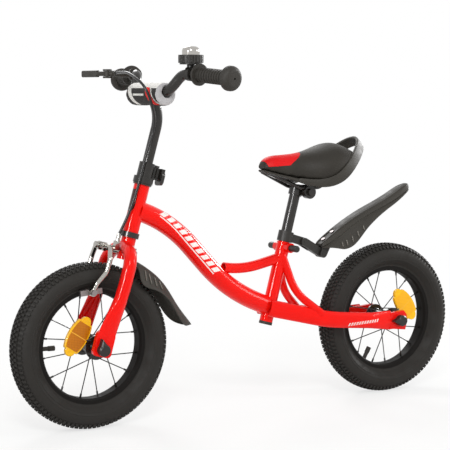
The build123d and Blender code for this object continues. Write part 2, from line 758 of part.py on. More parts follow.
def brake_arm(side, eye):
    """Arm that arches over the tyre from the bolt down to its shoe."""
    mid = eye + ARM_EYE_T / 2
    route = [head(mid, 0, BRAKE_UP), head(mid - (mid - 46) * 0.6, side * 24, BRAKE_UP + 4)]
    route += [head(46, side * 38, BRAKE_UP - 21), head(47, side * 38, BRAKE_UP - 45)]
    route += [head(58, side * 35, BRAKE_UP - 67), Vector(SHOE_X, side * (SHOE_Y + 13.4), SHOE_Z)]
    with BuildPart() as arm:
        add(swept(route, [14, 14, 20, 14], ARM_R))
        add(post(bolt_plane, eye, eye + ARM_EYE_T, ARM_EYE_R))
        y0, y1 = sorted((side * (SHOE_Y + SHOE_T + 0.4), side * (SHOE_Y + SHOE_T + 8.4)))
        add(across(SHOE_X, SHOE_Z, y0, y1, SHOE_EYE_R))
        add(across(SHOE_X, SHOE_Z, -60, 60, STUD_R + SEAT), mode=Mode.SUBTRACT)
        add(post(bolt_plane, 0, 90, BRAKE_BOLT_R + RUN), mode=Mode.SUBTRACT)
        y2, y3 = sorted((side * SHOE_Y, side * (SHOE_Y + SHOE_T + 0.4)))
        add(across(SHOE_X, SHOE_Z, y2, y3, 3 * SHOE_EYE_R), mode=Mode.SUBTRACT)
        y4, y5 = sorted((side * (SHOE_Y + SHOE_T + 8.4), side * (SHOE_Y + SHOE_T + 20)))
        add(across(SHOE_X, SHOE_Z, y4, y5, SHOE_EYE_R - 1), mode=Mode.SUBTRACT)
    return arm.part


def brake_shoe(side):
    """Shoe beside the rim with its stud and nut through the arm's eye."""
    tilt = Plane(
        origin=(SHOE_X, side * SHOE_Y, SHOE_Z),
        x_dir=(SHOE_Z - AXLE_Z, 0, FRONT_X - SHOE_X),
        z_dir=(0, side, 0),
    )
    with BuildPart(tilt) as shoe:
        Box(SHOE_L, SHOE_H, SHOE_T, align=UP)
        Cylinder(STUD_R, SHOE_T + 13, align=UP)
        with Locations((0, 0, SHOE_T + 8.5)):
            Cylinder(5.0, 4.5, align=UP)
    return shoe.part


for side, name, eye in ((1, "left", LEFT_EYE), (-1, "right", RIGHT_EYE)):
    keep(brake_arm(side, eye), f"brake_arm_{name}")
    keep(brake_shoe(side), f"brake_shoe_{name}")

# Stem collar with its quick lever
LEVER_PIN_AT = (-21.0, -8.0)
LEVER_TIP_AT = (-33.0, 7.0)
CAM_W = 23.0
CAM_H = 28.0
CAM_T = 7.5
HEAD_PIN = Plane(origin=head(*LEVER_PIN_AT, 0), x_dir=HEAD.x_dir, z_dir=HEAD.z_dir)
EAR_LOW = 104.5
EAR_TOP = 131.0
EAR_T = 3.7
collar_low = HEAD_L + TOP_CUP_H + FACE
with BuildPart() as stem_collar:
    add(post(HEAD, collar_low, COLLAR_FLANGE_TOP, COLLAR_R))
    add(post(HEAD, collar_low, COLLAR_TOP, COLLAR_SLEEVE_R))
    for low in (EAR_LOW, EAR_TOP - EAR_T):
        with Locations(HEAD.location * Location((-17, LEVER_PIN_AT[1], low))):
            Box(20, 14, EAR_T, align=UP)
    with Locations(HEAD.location * Location((*LEVER_PIN_AT, EAR_LOW))):
        Cylinder(KNUCKLE_PIN_R, EAR_TOP - EAR_LOW, align=UP)
    add(post(HEAD, collar_low, STEER_TOP, STEER_R + SEAT), mode=Mode.SUBTRACT)
    add(post(HEAD, collar_low, COLLAR_TOP, stem_bore), mode=Mode.SUBTRACT)
keep(stem_collar.part, "stem_collar")

lever_low = EAR_LOW + EAR_T + FACE
lever_top = EAR_TOP - EAR_T - FACE
lever_mid = (lever_low + lever_top) / 2
with BuildPart() as collar_lever:
    with BuildLine() as lever_path:
        FilletPolyline(
            head(*LEVER_PIN_AT, lever_mid), head(-33, -6, lever_mid), head(*LEVER_TIP_AT, lever_mid),
            radius=5,
        )
    start = Plane(origin=lever_path.line @ 0, x_dir=HEAD.z_dir, z_dir=lever_path.line % 0)
    with BuildSketch(start):
        Rectangle(lever_top - lever_low, 7.0)
    sweep(path=lever_path.line)
    add(post(HEAD_PIN, lever_low, lever_top, 6.0))
    with BuildSketch(Plane(origin=head(-31, -2.5, lever_mid - 8), x_dir=(0, 1, 0), z_dir=-HEAD.x_dir)):
        RectangleRounded(CAM_W, CAM_H, 9.0)
    extrude(amount=CAM_T, taper=12)
    add(post(HEAD_PIN, lever_low, lever_top, KNUCKLE_PIN_R + RUN), mode=Mode.SUBTRACT)
keep(collar_lever.part, "collar_lever")

# Stem, handlebar, pad and grips
STEM_PATH = [head(0, 0, STEM_LOW), head(0, 0, STEM_BEND), Vector(*BAR_MID)]
bar_left = [(BAR_MID[0], BAR_STRAIGHT, BAR_MID[2]), BAR_RISE, BAR_END]
BAR_PATH = [mirrored(p) for p in reversed(bar_left)] + bar_left
BAR_BENDS = [30, 50, 50, 30]
bar_core = swept(BAR_PATH, BAR_BENDS, BAR_R)
stem_core = swept(STEM_PATH, [STEM_BEND_R], STEM_R)

with BuildPart() as handlebar:
    add(bar_core)
    add(swept(BAR_PATH, BAR_BENDS, BAR_R - BAR_WALL), mode=Mode.SUBTRACT)
keep(handlebar.part, "handlebar")

with BuildPart() as stem_tube:
    add(stem_core)
    add(swept(STEM_PATH, [STEM_BEND_R], STEM_R - TUBE_WALL), mode=Mode.SUBTRACT)
    add(bar_core, mode=Mode.SUBTRACT)
keep(stem_tube.part, "stem_tube")

with BuildPart() as bar_pad:
    add(across(BAR_MID[0], BAR_MID[2], -PAD_L / 2, PAD_L / 2, PAD_R))
    fillet(edges().filter_by(GeomType.CIRCLE), 4.0)
    add(bar_core, mode=Mode.SUBTRACT)
    add(stem_core, mode=Mode.SUBTRACT)
keep(bar_pad.part, "bar_pad")


def grip_plane(side):
    rise = Vector(BAR_RISE[0], side * BAR_RISE[1], BAR_RISE[2])
    end = Vector(BAR_END[0], side * BAR_END[1], BAR_END[2])
    return Plane(origin=rise, z_dir=end - rise)


bar_run = (Vector(*BAR_END) - Vector(*BAR_RISE)).length
BULB_L = 18.0
bulb_end = bar_run + 4.5


def grip(side):
    """Ribbed grip with an inner flange and a domed safety end."""
    rib_from = GRIP_START + GRIP_FLANGE_T + 6
    pitch = (bulb_end - BULB_L - rib_from) / GRIP_RIBS
    with BuildPart(grip_plane(side)) as sleeve:
        with Locations((0, 0, bulb_end - BULB_L)):
            Cylinder(BULB_R, BULB_L, align=UP)
        rims = edges().filter_by(GeomType.CIRCLE).sort_by(Axis.Y)
        outer = rims[-1] if side > 0 else rims[0]
        inner = rims[0] if side > 0 else rims[-1]
        fillet(outer, 10.0)
        fillet(inner, 4.0)
        with Locations((0, 0, GRIP_START)):
            Cylinder(GRIP_FLANGE_R, GRIP_FLANGE_T, align=UP)
            Cylinder(GRIP_R, bulb_end - BULB_L - GRIP_START + 2, align=UP)
        for i in range(GRIP_RIBS):
            with Locations((0, 0, rib_from + i * pitch)):
                Cylinder(GRIP_RIB_R, pitch / 2, align=UP)
        with Locations((0, 0, bar_run - 2)):
            Cylinder(2.0, 12, align=UP, mode=Mode.SUBTRACT)
    return sleeve.part


for side, name in ((1, "grip_left"), (-1, "grip_right")):
    with BuildPart() as bored_grip:
        add(grip(side))
        add(bar_core, mode=Mode.SUBTRACT)
    keep(bored_grip.part, name)

# Twist bell on the left
bell_mid = grip_plane(1).from_local_coords(Vector(0, 0, CLAMP_AT))
bell_plane = Plane(origin=bell_mid)
PLATE_T = 2.5
ring_low = BELL_UP + PLATE_T + FACE
hub_top = ring_low + BELL_RING_H + FACE
with BuildPart() as bell_base:
    add(post(grip_plane(1), CLAMP_AT - CLAMP_W / 2, CLAMP_AT + CLAMP_W / 2, CLAMP_R))
    add(post(bell_plane, 0, BELL_UP, 7.0))
    add(post(bell_plane, BELL_UP, BELL_UP + PLATE_T, BELL_RING_R - 2.5))
    add(post(bell_plane, BELL_UP, hub_top, BELL_HUB_R))
    add(bar_core, mode=Mode.SUBTRACT)
keep(bell_base.part, "bell_base")

with BuildPart(Plane(origin=bell_mid + Vector(0, 0, ring_low))) as bell_ring:
    Cylinder(BELL_RING_R, BELL_RING_H, align=UP)
    Cylinder(BELL_HUB_R + RUN, BELL_RING_H, align=UP, mode=Mode.SUBTRACT)
    with PolarLocations(BELL_RING_R + 0.4, 24):
        Cylinder(1.6, BELL_RING_H, align=UP, mode=Mode.SUBTRACT)
keep(bell_ring.part, "bell_ring")

with BuildPart(Plane(origin=bell_mid + Vector(0, 0, hub_top))) as bell_dome:
    Cylinder(BELL_DOME_R, BELL_DOME_H, align=UP)
    fillet(edges().filter_by(GeomType.CIRCLE).sort_by(Axis.Z)[-1], 9.0)
keep(bell_dome.part, "bell_dome")

# Brake lever on the right
lever_plane = Plane(origin=LEVER_AT)
lever_clamp = grip_plane(-1).from_local_coords(Vector(0, 0, CLAMP_AT))
lever_elbow = (LEVER_AT[0] - 18, lever_clamp.Y + 2.5, LEVER_AT[2] - 0.5)
half_h = LEVER_H / 2
ADJUSTER = [
    (LEVER_AT[0] - 8, LEVER_AT[1] + 9, LEVER_AT[2]),
    (LEVER_AT[0] - 4, LEVER_AT[1] + 29, LEVER_AT[2] + 1),
]
with BuildPart() as lever_bracket:
    add(post(grip_plane(-1), CLAMP_AT - CLAMP_W / 2, CLAMP_AT + CLAMP_W / 2, CLAMP_R))
    add(swept([lever_clamp + Vector(0, 2.5, 0), lever_elbow, LEVER_AT], [10], 6.0))
    add(post(lever_plane, -half_h - 3.5, half_h + 3.5, LEVER_BOSS_R + 1))
    add(swept(ADJUSTER, [], 3.8))
    add(post(lever_plane, -half_h - 0.3, half_h + 0.3, LEVER_BOSS_R + 1.1), mode=Mode.SUBTRACT)
    add(post(lever_plane, -half_h - 3.5, half_h + 3.5, LEVER_PIN_R))
    add(bar_core, mode=Mode.SUBTRACT)
keep(lever_bracket.part, "lever_bracket")

with BuildPart() as brake_lever:
    tip = (LEVER_AT[0] + 9, LEVER_AT[1] - LEVER_L, LEVER_AT[2])
    add(post(lever_plane, -half_h, half_h, LEVER_BOSS_R))
    neck = (tip[0], LEVER_AT[1] - 16, tip[2]), (tip[0], LEVER_AT[1] - 26, tip[2])
    add(swept([LEVER_AT, *neck], [15], half_h - 0.6))
    with BuildSketch(Plane(origin=neck[0], x_dir=(1, 0, 0), z_dir=(0, -1, 0)).offset(6)):
        RectangleRounded(LEVER_BLADE_T, LEVER_BLADE_H, 3.0)
    extrude(amount=LEVER_L - 22)
    fillet(faces().sort_by(Axis.Y)[0].edges(), 2.5)
    add(post(lever_plane, -20, 20, LEVER_PIN_R + RUN), mode=Mode.SUBTRACT)
keep(brake_lever.part, "brake_lever")

# Brake cable: from the lever round the front of the pad and down to the stop
CABLE_ROUTE = [
    Vector(228.06, -96.7, 646.0),
    Vector(240, -36, 649),
    Vector(247, 6, 639),
    Vector(248, 40, 622),
    Vector(236, 43, 592),
    Vector(206, 15, 553),
    head(15.5, 16, 150),
    head(15.5, 16, 45),
    head(*STOP_AT, STOP_TOP + 0.8),
]


def cable_bends(points):
    """Largest bend at each corner that keeps a tenth of the shorter run straight."""
    bends = []
    for a, b, c in zip(points, points[1:], points[2:]):
        turn = radians((b - a).get_angle(c - b))
        bends.append(0.45 * min((b - a).length, (c - b).length) / tan(turn / 2))
    return bends


CABLE_BENDS = cable_bends(CABLE_ROUTE)
with BuildPart() as brake_cable:
    add(swept(CABLE_ROUTE, CABLE_BENDS, CABLE_R))
keep(brake_cable.part, "brake_cable")

# Seat post with the saddle clamp
with BuildPart() as seat_post:
    add(post(SEATING, POST_LOW, POST_TOP, POST_R))
    add(post(SEATING, POST_LOW, POST_TOP - 4, POST_R - TUBE_WALL), mode=Mode.SUBTRACT)
keep(seat_post.part, "seat_post")

post_core = post(SEATING, POST_LOW, POST_TOP, POST_R + SEAT)
tilt_local = SEATING.to_local_coords(Vector(*TILT_AT))
BARREL_R = 8.0
BARREL_W = 28.0
with BuildPart() as saddle_clamp:
    add(post(SEATING, tilt_local.Z - 11, POST_TOP + 3, POST_R + 3))
    with Locations(SEATING.location * Location((tilt_local.X / 2, 0, tilt_local.Z))):
        Box(-tilt_local.X, BARREL_W * 0.7, 14)
    add(across(TILT_AT[0], TILT_AT[2], -BARREL_W / 2, BARREL_W / 2, BARREL_R))
    for side in (1, -1):
        ends = sorted((0, side * (BARREL_W / 2 + JAW_W + 6)))
        heads = sorted((side * (BARREL_W / 2 + JAW_W + 2 * FACE), side * (BARREL_W / 2 + JAW_W + 6)))
        add(across(TILT_AT[0], TILT_AT[2], *ends, BOLT_R))
        add(across(TILT_AT[0], TILT_AT[2], *heads, BARREL_R - 1))
    add(post_core, mode=Mode.SUBTRACT)
keep(saddle_clamp.part, "saddle_clamp")

# Saddle: hollow shell with a grab loop, cushion, rails, jaws
# From the tilt pivot: place along X, half width, height of the underside and the top,
# shell's half width and depth
SADDLE = [
    (TILT_AT[0] + ahead, w, TILT_AT[2] + low, TILT_AT[2] + top, half, depth)
    for ahead, w, low, top, half, depth in (
        (96, 12, 46, 57, 14, 5),
        (85, 19, 42, 68, 21, 6),
        (51, 25, 33.5, 72.5, 28, 9),
        (11, 37, 25, 76, 41, 12),
        (-19, 53, 22, 83, 60, 13),
        (-54, 58, 29, 93.5, 64, 15),
        (-81, 54, 46, 89, 60, 13),
        (-101, 38, 62, 78, 44, 9),
    )
]


def station(x):
    return Plane(origin=(x, 0, 0), x_dir=(0, 1, 0), z_dir=(1, 0, 0))


def slab(rows):
    """Ruled body through rectangles; each row is place, half width, low and high side."""
    with BuildPart() as body:
        for x, half, low, high in rows:
            with BuildSketch(station(x)):
                with Locations((0, (low + high) / 2)):
                    Rectangle(2 * half, high - low)
        loft(ruled=True)
    return body.part


LOOP_FROM = moved(TILT_AT, (-34.0, 0.0, 15.0))
LOOP_LEG = 62.5
LOOP_START = 0.15 * LOOP_LEG
loop_a = radians(LOOP_RISE)
loop_plane = Plane(
    origin=LOOP_FROM,
    x_dir=(-cos(loop_a), 0, sin(loop_a)),
    z_dir=(sin(loop_a), 0, cos(loop_a)),
)
with BuildPart() as saddle_shell:
    add(slab([(x, half, low - depth, low) for x, w, low, top, half, depth in SADDLE]))
    pocket = [
        (x, half - SHELL_WALL, low - depth - 1, low - SHELL_ROOF)
        for x, w, low, top, half, depth in SADDLE[2:6]
    ]
    add(slab(pocket), mode=Mode.SUBTRACT)
    with BuildSketch(loop_plane.offset(-LOOP_H / 2)):
        with BuildLine():
            out, inn = LOOP_Y + LOOP_T / 2, LOOP_Y - LOOP_T / 2
            for r in (out, inn):
                Line((LOOP_START, r), (LOOP_LEG, r))
                ThreePointArc((LOOP_LEG, r), (LOOP_LEG + r, 0), (LOOP_LEG, -r))
                Line((LOOP_LEG, -r), (LOOP_START, -r))
            Line((LOOP_START, out), (LOOP_START, inn))
            Line((LOOP_START, -out), (LOOP_START, -inn))
        make_face()
    extrude(amount=LOOP_H)
keep(saddle_shell.part, "saddle_shell")

with BuildPart() as saddle_pad:
    for x, w, low, top, half, depth in SADDLE:
        h = top - low
        with BuildSketch(station(x)):
            with BuildLine():
                Line((-w, low), (w, low))
                ThreePointArc((w, low), (w * 0.98, low + 0.5 * h), (w * 0.62, low + 0.88 * h))
                ThreePointArc((w * 0.62, low + 0.88 * h), (0, top), (-w * 0.62, low + 0.88 * h))
                ThreePointArc((-w * 0.62, low + 0.88 * h), (-w * 0.98, low + 0.5 * h), (-w, low))
            make_face()
    loft()
    add(saddle_shell.part, mode=Mode.SUBTRACT)
    add(
        slab([(x, half + 5, low - depth, low + PAD_GAP) for x, w, low, top, half, depth in SADDLE]),
        mode=Mode.SUBTRACT,
    )
keep(saddle_pad.part, "saddle_pad")


def rail(side):
    """Wire from the shell's nose through a jaw to the shell's rear."""
    route = [moved(TILT_AT, (89, side * 9, 40)), moved(TILT_AT, (19, side * RAIL_Y, 8.5))]
    route += [moved(TILT_AT, (-27, side * RAIL_Y, 8)), moved(TILT_AT, (-45, side * (RAIL_Y + 3), 29))]
    with BuildPart() as wire:
        add(swept(route, [25, 18], RAIL_R))
        add(saddle_shell.part, mode=Mode.SUBTRACT)
    return wire.part.solids().sort_by(SortBy.VOLUME)[-1]


with BuildPart() as saddle_rails:
    for side in (1, -1):
        add(rail(side))
keep(saddle_rails.part, "saddle_rails")

with BuildPart() as saddle_jaws:
    for side in (1, -1):
        y0, y1 = sorted((side * (BARREL_W / 2 + FACE), side * (BARREL_W / 2 + FACE + JAW_W)))
        add(across(TILT_AT[0], TILT_AT[2], y0, y1, JAW_R))
    add(across(TILT_AT[0], TILT_AT[2], -40, 40, BOLT_R + RUN), mode=Mode.SUBTRACT)
    add(saddle_rails.part, mode=Mode.SUBTRACT)
keep(saddle_jaws.part, "saddle_jaws")

# Rear mudguard: strap on the post, link, foot, blade and screws
KNUCKLE_W = 12.0
EAR_W = 4.0
strap_mid = seating(0, 0, STRAP_LOW + STRAP_H / 2)
ear_in = KNUCKLE_W / 2 + FACE
ear_out = ear_in + EAR_W
pin_out = ear_out + FACE
link_mid = (0.52 * LINK_AT[0] + 0.48 * FOOT_AT[0], 0, 0.52 * LINK_AT[2] + 0.48 * FOOT_AT[2])
with BuildPart() as mudguard_strap:
    add(post(SEATING, STRAP_LOW, STRAP_LOW + STRAP_H, STRAP_R))
    add(slot_plate(tuple(strap_mid), LINK_AT, KNUCKLE_R, -KNUCKLE_W / 2, KNUCKLE_W / 2))
    add(across(LINK_AT[0], LINK_AT[2], -pin_out, pin_out, KNUCKLE_PIN_R))
    add(post_core, mode=Mode.SUBTRACT)
keep(mudguard_strap.part, "mudguard_strap")

with BuildPart() as mudguard_link:
    for y0, y1 in ((ear_in, ear_out), (-ear_out, -ear_in)):
        add(slot_plate(LINK_AT, link_mid, KNUCKLE_R, y0, y1))
    add(slot_plate(link_mid, FOOT_AT, KNUCKLE_R, -KNUCKLE_W / 2, KNUCKLE_W / 2))
    add(across(link_mid[0], link_mid[2], -ear_out, ear_out, KNUCKLE_R))
    add(across(FOOT_AT[0], FOOT_AT[2], -pin_out, pin_out, KNUCKLE_PIN_R))
    add(across(LINK_AT[0], LINK_AT[2], -30, 30, KNUCKLE_PIN_R + RUN), mode=Mode.SUBTRACT)
keep(mudguard_link.part, "mudguard_link")

# From the foot's knuckle: place along X, height of the top, half widths of top and skirt, depth
REAR_GUARD = [
    (FOOT_AT[0] + ahead, FOOT_AT[2] + above, top, skirt, depth)
    for ahead, above, top, skirt, depth in (
        (6, 18.5, 13, 14, 4),
        (-11, 30.5, 15, 24, 15),
        (-42, 50.5, 16, 33, 44),
        (-65, 63, 16, 34.5, 51),
        (-92, 78, 16, 33, 38),
        (-129, 98, 16, 29, 30),
        (-175, 120, 14, 22, 25),
        (-210, 133, 5, 9, 9),
    )
]


def rear_station(x, z):
    return Plane(origin=(x, 0, z), x_dir=(0, 1, 0), z_dir=(1, 0, 0))


rear_blade = blade([(rear_station(x, z), t, k, d) for x, z, t, k, d in REAR_GUARD])
GUARD_RIB_R = 3.2
screw_dir = Vector(0.57, 0, 0.82)
SCREWS = [Vector(*moved(FOOT_AT, by)) for by in ((-6, 0, 26.9), (-27, 0, 40.8))]
screw_set = []
for point in SCREWS:
    plane = Plane(origin=point, z_dir=screw_dir)
    with BuildPart() as screw:
        add(post(plane, -13, 0.5, 2.0))
        add(post(plane, 0.15, 2.6, 4.2))
    screw_set.append(screw.part)

with BuildPart() as mudguard_screws:
    for part in screw_set:
        add(part)
keep(mudguard_screws.part, "mudguard_screws")

with BuildPart() as rear_mudguard:
    add(rear_blade)
    for side in (1, -1):
        edge = [(x, side * (t - 1.5), z + 1) for x, z, t, k, d in REAR_GUARD[:6]]
        add(swept(edge, [60, 60, 60, 60], GUARD_RIB_R))
    for point in SCREWS:
        add(post(Plane(origin=point, z_dir=screw_dir), -20, 20, 2.0 + SEAT), mode=Mode.SUBTRACT)
    add(mudguard_screws.part, mode=Mode.SUBTRACT)
keep(rear_mudguard.part, "rear_mudguard")

with BuildPart() as mudguard_foot:
    for y0, y1 in ((ear_in, ear_out), (-ear_out, -ear_in)):
        add(slot_plate(FOOT_AT, moved(FOOT_AT, (-10, 0, 19)), KNUCKLE_R, y0, y1))
    foot_pad = moved(FOOT_AT, (-7.5, 0, 17.5)), moved(FOOT_AT, (-27, 0, 30))
    add(slot_plate(*foot_pad, KNUCKLE_R, -ear_out, ear_out))
    add(across(FOOT_AT[0], FOOT_AT[2], -30, 30, KNUCKLE_PIN_R + RUN), mode=Mode.SUBTRACT)
    add(rear_blade, mode=Mode.SUBTRACT)
    add(mudguard_screws.part, mode=Mode.SUBTRACT)
keep(mudguard_foot.part, "mudguard_foot")
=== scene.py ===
"""Balance bike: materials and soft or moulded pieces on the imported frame, in metres."""
import json
from math import asin, atan2, cos, degrees, pi, radians, sin, sqrt

import bpy
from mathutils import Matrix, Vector


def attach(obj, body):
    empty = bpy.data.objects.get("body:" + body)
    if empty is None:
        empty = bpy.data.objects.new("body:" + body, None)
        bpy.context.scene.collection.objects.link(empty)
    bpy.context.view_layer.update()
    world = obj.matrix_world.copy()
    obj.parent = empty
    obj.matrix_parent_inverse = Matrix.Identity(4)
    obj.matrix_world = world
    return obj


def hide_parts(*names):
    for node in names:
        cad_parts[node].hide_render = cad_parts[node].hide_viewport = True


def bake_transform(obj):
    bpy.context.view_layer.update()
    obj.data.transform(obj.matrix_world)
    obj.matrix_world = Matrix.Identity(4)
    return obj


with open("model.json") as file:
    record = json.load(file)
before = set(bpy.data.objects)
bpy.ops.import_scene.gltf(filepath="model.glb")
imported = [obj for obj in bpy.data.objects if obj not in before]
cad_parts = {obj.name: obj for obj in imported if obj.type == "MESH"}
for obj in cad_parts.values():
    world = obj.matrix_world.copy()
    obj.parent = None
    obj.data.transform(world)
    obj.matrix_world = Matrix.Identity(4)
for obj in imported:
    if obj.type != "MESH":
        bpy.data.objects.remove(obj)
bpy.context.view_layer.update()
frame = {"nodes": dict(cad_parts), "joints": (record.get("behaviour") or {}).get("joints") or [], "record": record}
NODES = frame["nodes"]
JOINTS = {joint["name"]: joint for joint in frame["joints"]}
MM = 0.001

# Places that the frame gives: both axles in metres, the foot of the head tube in millimetres and its lean
FRONT_AXLE = Vector(JOINTS["front_wheel_spin"]["pos_m"])
REAR_AXLE = Vector(JOINTS["rear_wheel_spin"]["pos_m"])
HEAD_LOW = Vector(JOINTS["steering"]["pos_m"]) / MM
HEAD_RAKE = degrees(asin(-JOINTS["steering"]["axis"][0]))


# Shared helpers

def linear(code):
    """sRGB hex colour as linear RGBA."""
    parts = [int(code[i:i + 2], 16) / 255 for i in (1, 3, 5)]
    return [c / 12.92 if c <= 0.04045 else ((c + 0.055) / 1.055) ** 2.4 for c in parts] + [1.0]


def node(tree, kind, links=None, **settings):
    """Adds one shader node with its settings; links holds socket values or sockets to join."""
    made = tree.nodes.new("ShaderNode" + kind)
    for key, value in settings.items():
        setattr(made, key, value)
    for key, value in (links or {}).items():
        if isinstance(value, bpy.types.NodeSocket):
            tree.links.new(value, made.inputs[key])
        else:
            made.inputs[key].default_value = value
    return made


def finish_named(name, **sockets):
    """New material with one Principled shader; sockets set its constant inputs."""
    made = bpy.data.materials.new(name)
    made.use_nodes = True
    shader = made.node_tree.nodes["Principled BSDF"]
    for key, value in sockets.items():
        shader.inputs[key.replace("_", " ")].default_value = value
    return made, made.node_tree, shader


def within(tree, value, low, high, edge):
    """Mask that is 1 where a value lies between low and high, with soft edges."""
    off = node(tree, "Math", {0: value, 1: (low + high) / 2}, operation="SUBTRACT")
    off = node(tree, "Math", {0: off.outputs[0]}, operation="ABSOLUTE")
    half = (high - low) / 2
    return node(tree, "MapRange", {
        "Value": off.outputs[0], "From Min": half - edge, "From Max": half + edge,
        "To Min": 1.0, "To Max": 0.0,
    }, interpolation_type="SMOOTHSTEP").outputs["Result"]


def all_of(tree, *masks):
    """Mask that is 1 only where every mask is."""
    product = masks[0]
    for mask in masks[1:]:
        product = node(tree, "Math", {0: product, 1: mask}, operation="MULTIPLY").outputs[0]
    return product


def layered(tree, base, *layers):
    """Colour with others laid on it in turn, each where its mask is 1."""
    for colour, mask in layers:
        base = node(tree, "MixRGB", {"Fac": mask, "Color1": base, "Color2": colour}).outputs["Color"]
    return base


def paint(piece, material):
    """Gives a piece or CAD node this one material."""
    piece.data.materials.clear()
    piece.data.materials.append(material)


def deselected():
    """Leaves edit mode with nothing selected."""
    if bpy.context.object and bpy.context.object.mode != "OBJECT":
        bpy.ops.object.mode_set(mode="OBJECT")
    bpy.ops.object.select_all(action="DESELECT")


def applied(piece, kind, **settings):
    """Adds a modifier to a piece and applies it."""
    bpy.context.view_layer.objects.active = piece
    added = piece.modifiers.new(kind.lower(), kind)
    for key, value in settings.items():
        setattr(added, key, value)
    bpy.ops.object.modifier_apply(modifier=added.name)


def named(name):
    """Names the object that an operator has just made."""
    made = bpy.context.object
    made.name = made.data.name = name
    return made


def joined(pieces, name):
    """Joins several objects into one mesh at the origin."""
    deselected()
    for piece in pieces:
        piece.select_set(True)
    bpy.context.view_layer.objects.active = pieces[0]
    bpy.ops.object.join()
    bpy.ops.object.transform_apply(location=True, rotation=True, scale=True)
    return named(name)


def smoothed(piece, angle):
    """Shades a piece smooth, with edges sharper than the angle in degrees left hard."""
    deselected()
    piece.select_set(True)
    bpy.context.view_layer.objects.active = piece
    bpy.ops.object.shade_smooth_by_angle(angle=radians(angle))


def placed(piece, body, slot, material, *nodes):
    """Puts a piece on its body, in place of any CAD nodes named, with its finish; slot is not used."""
    paint(piece, material)
    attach(piece, body)
    if nodes:
        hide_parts(*nodes)


# Materials

def mottled(name, dark, light, roughness, grain, depth, **sockets):
    """Moulded, rubber or painted surface: drifting tone, uneven gloss, a grain in relief (millimetres)."""
    made, tree, shader = finish_named(name, **sockets)
    place = node(tree, "TexCoord").outputs["Object"]
    fine = node(tree, "TexNoise", {"Vector": place, "Scale": 1 / (grain * MM), "Detail": 2.0})
    cloud = node(tree, "TexNoise", {"Vector": place, "Scale": 1 / (20 * MM), "Detail": 3.0}).outputs["Fac"]
    tree.links.new(layered(tree, linear(dark), (linear(light), cloud)), shader.inputs["Base Color"])
    gloss = node(tree, "MapRange", {
        "Value": cloud, "From Min": 0.3, "From Max": 0.7,
        "To Min": roughness * 0.85, "To Max": roughness * 1.15,
    })
    tree.links.new(gloss.outputs[0], shader.inputs["Roughness"])
    bump = node(tree, "Bump", {"Height": fine.outputs["Fac"], "Strength": 1.0, "Distance": depth * MM})
    tree.links.new(bump.outputs["Normal"], shader.inputs["Normal"])
    return made


def red_enamel(name, ink=None, marks=None):
    """Gloss red stove enamel with a faint orange-peel ripple; marks says where a transfer in ink lies."""
    made, tree, shader = finish_named(
        name, Roughness=0.24, Specular_IOR_Level=0.5, Specular_Tint=linear("#FF2A1C"),
        Coat_Weight=0.25, Coat_Roughness=0.05,
    )
    place = node(tree, "TexCoord").outputs["Object"]
    cloud = node(tree, "TexNoise", {"Vector": place, "Scale": 1 / (60 * MM), "Detail": 2.0}).outputs["Fac"]
    colour = layered(tree, linear("#F5120A"), (linear("#E8130B"), cloud))
    if marks:
        colour = layered(tree, colour, (linear(ink), marks(tree, place)))
    tree.links.new(colour, shader.inputs["Base Color"])
    ripple = node(tree, "TexNoise", {"Vector": place, "Scale": 1 / (4 * MM), "Detail": 2.0}).outputs["Fac"]
    bump = node(tree, "Bump", {"Height": ripple, "Strength": 1.0, "Distance": 0.03 * MM})
    tree.links.new(bump.outputs["Normal"], shader.inputs["Normal"])
    return made


def local_mm(tree, place, origin, turn):
    """Coordinates in millimetres about a point, turned in the bike's centre plane: along, side and up."""
    spot = node(tree, "Mapping", {
        "Vector": place, "Location": Vector(origin) * MM, "Rotation": (0, radians(turn), 0),
        "Scale": (MM, MM, MM),
    }, vector_type="TEXTURE")
    split = node(tree, "SeparateXYZ", {0: spot.outputs[0]})
    return split.outputs["X"], split.outputs["Y"], split.outputs["Z"]


def slanted_bars(tree, along, up, slant, pitch, share):
    """Stripes across a band, leaning by slant and repeated every pitch."""
    lean = node(tree, "Math", {0: up, 1: slant, 2: along}, operation="MULTIPLY_ADD").outputs[0]
    turn = node(tree, "Math", {0: lean, 1: pitch}, operation="DIVIDE").outputs[0]
    part = node(tree, "Math", {0: turn}, operation="FRACT").outputs[0]
    return lean, within(tree, part, 0.5 - share / 2, 0.5 + share / 2, 0.03)


def down_tube_marks(tree, place):
    """Row of slanted bars along the sides of the down tube with one long stripe below it."""
    along, _, up = local_mm(tree, place, (167, 0, 370), 133.0)
    # Short of 25 mm along, the row bends with the tube's curve
    before = node(tree, "Math", {0: along, 1: 25.0}, operation="SUBTRACT").outputs[0]
    before = node(tree, "Math", {0: before, 1: 0.0}, operation="MINIMUM").outputs[0]
    sag = node(tree, "Math", {0: before, 1: before}, operation="MULTIPLY").outputs[0]
    up = node(tree, "Math", {0: sag, 1: -1 / 520, 2: up}, operation="MULTIPLY_ADD").outputs[0]
    lean, bars = slanted_bars(tree, along, up, 0.7, 17.0, 0.62)
    bars = all_of(tree, bars, within(tree, lean, -34.0, 136.0, 0.3), within(tree, up, -8.5, 3.5, 0.3))
    line = all_of(tree, within(tree, along, -30.0, 132.0, 0.3), within(tree, up, 5.5, 7.5, 0.3))
    return node(tree, "Math", {0: bars, 1: line}, operation="MAXIMUM").outputs[0]


def chain_stay_marks(tree, place):
    """Short row of small slanted ticks on the side of a chain stay."""
    along, _, up = local_mm(tree, place, (-200, 0, 153), 3.0)
    lean, ticks = slanted_bars(tree, along, up, 0.5, 6.0, 0.5)
    return all_of(tree, ticks, within(tree, lean, -78.0, -6.0, 0.3), within(tree, up, -3.0, 3.0, 0.3))


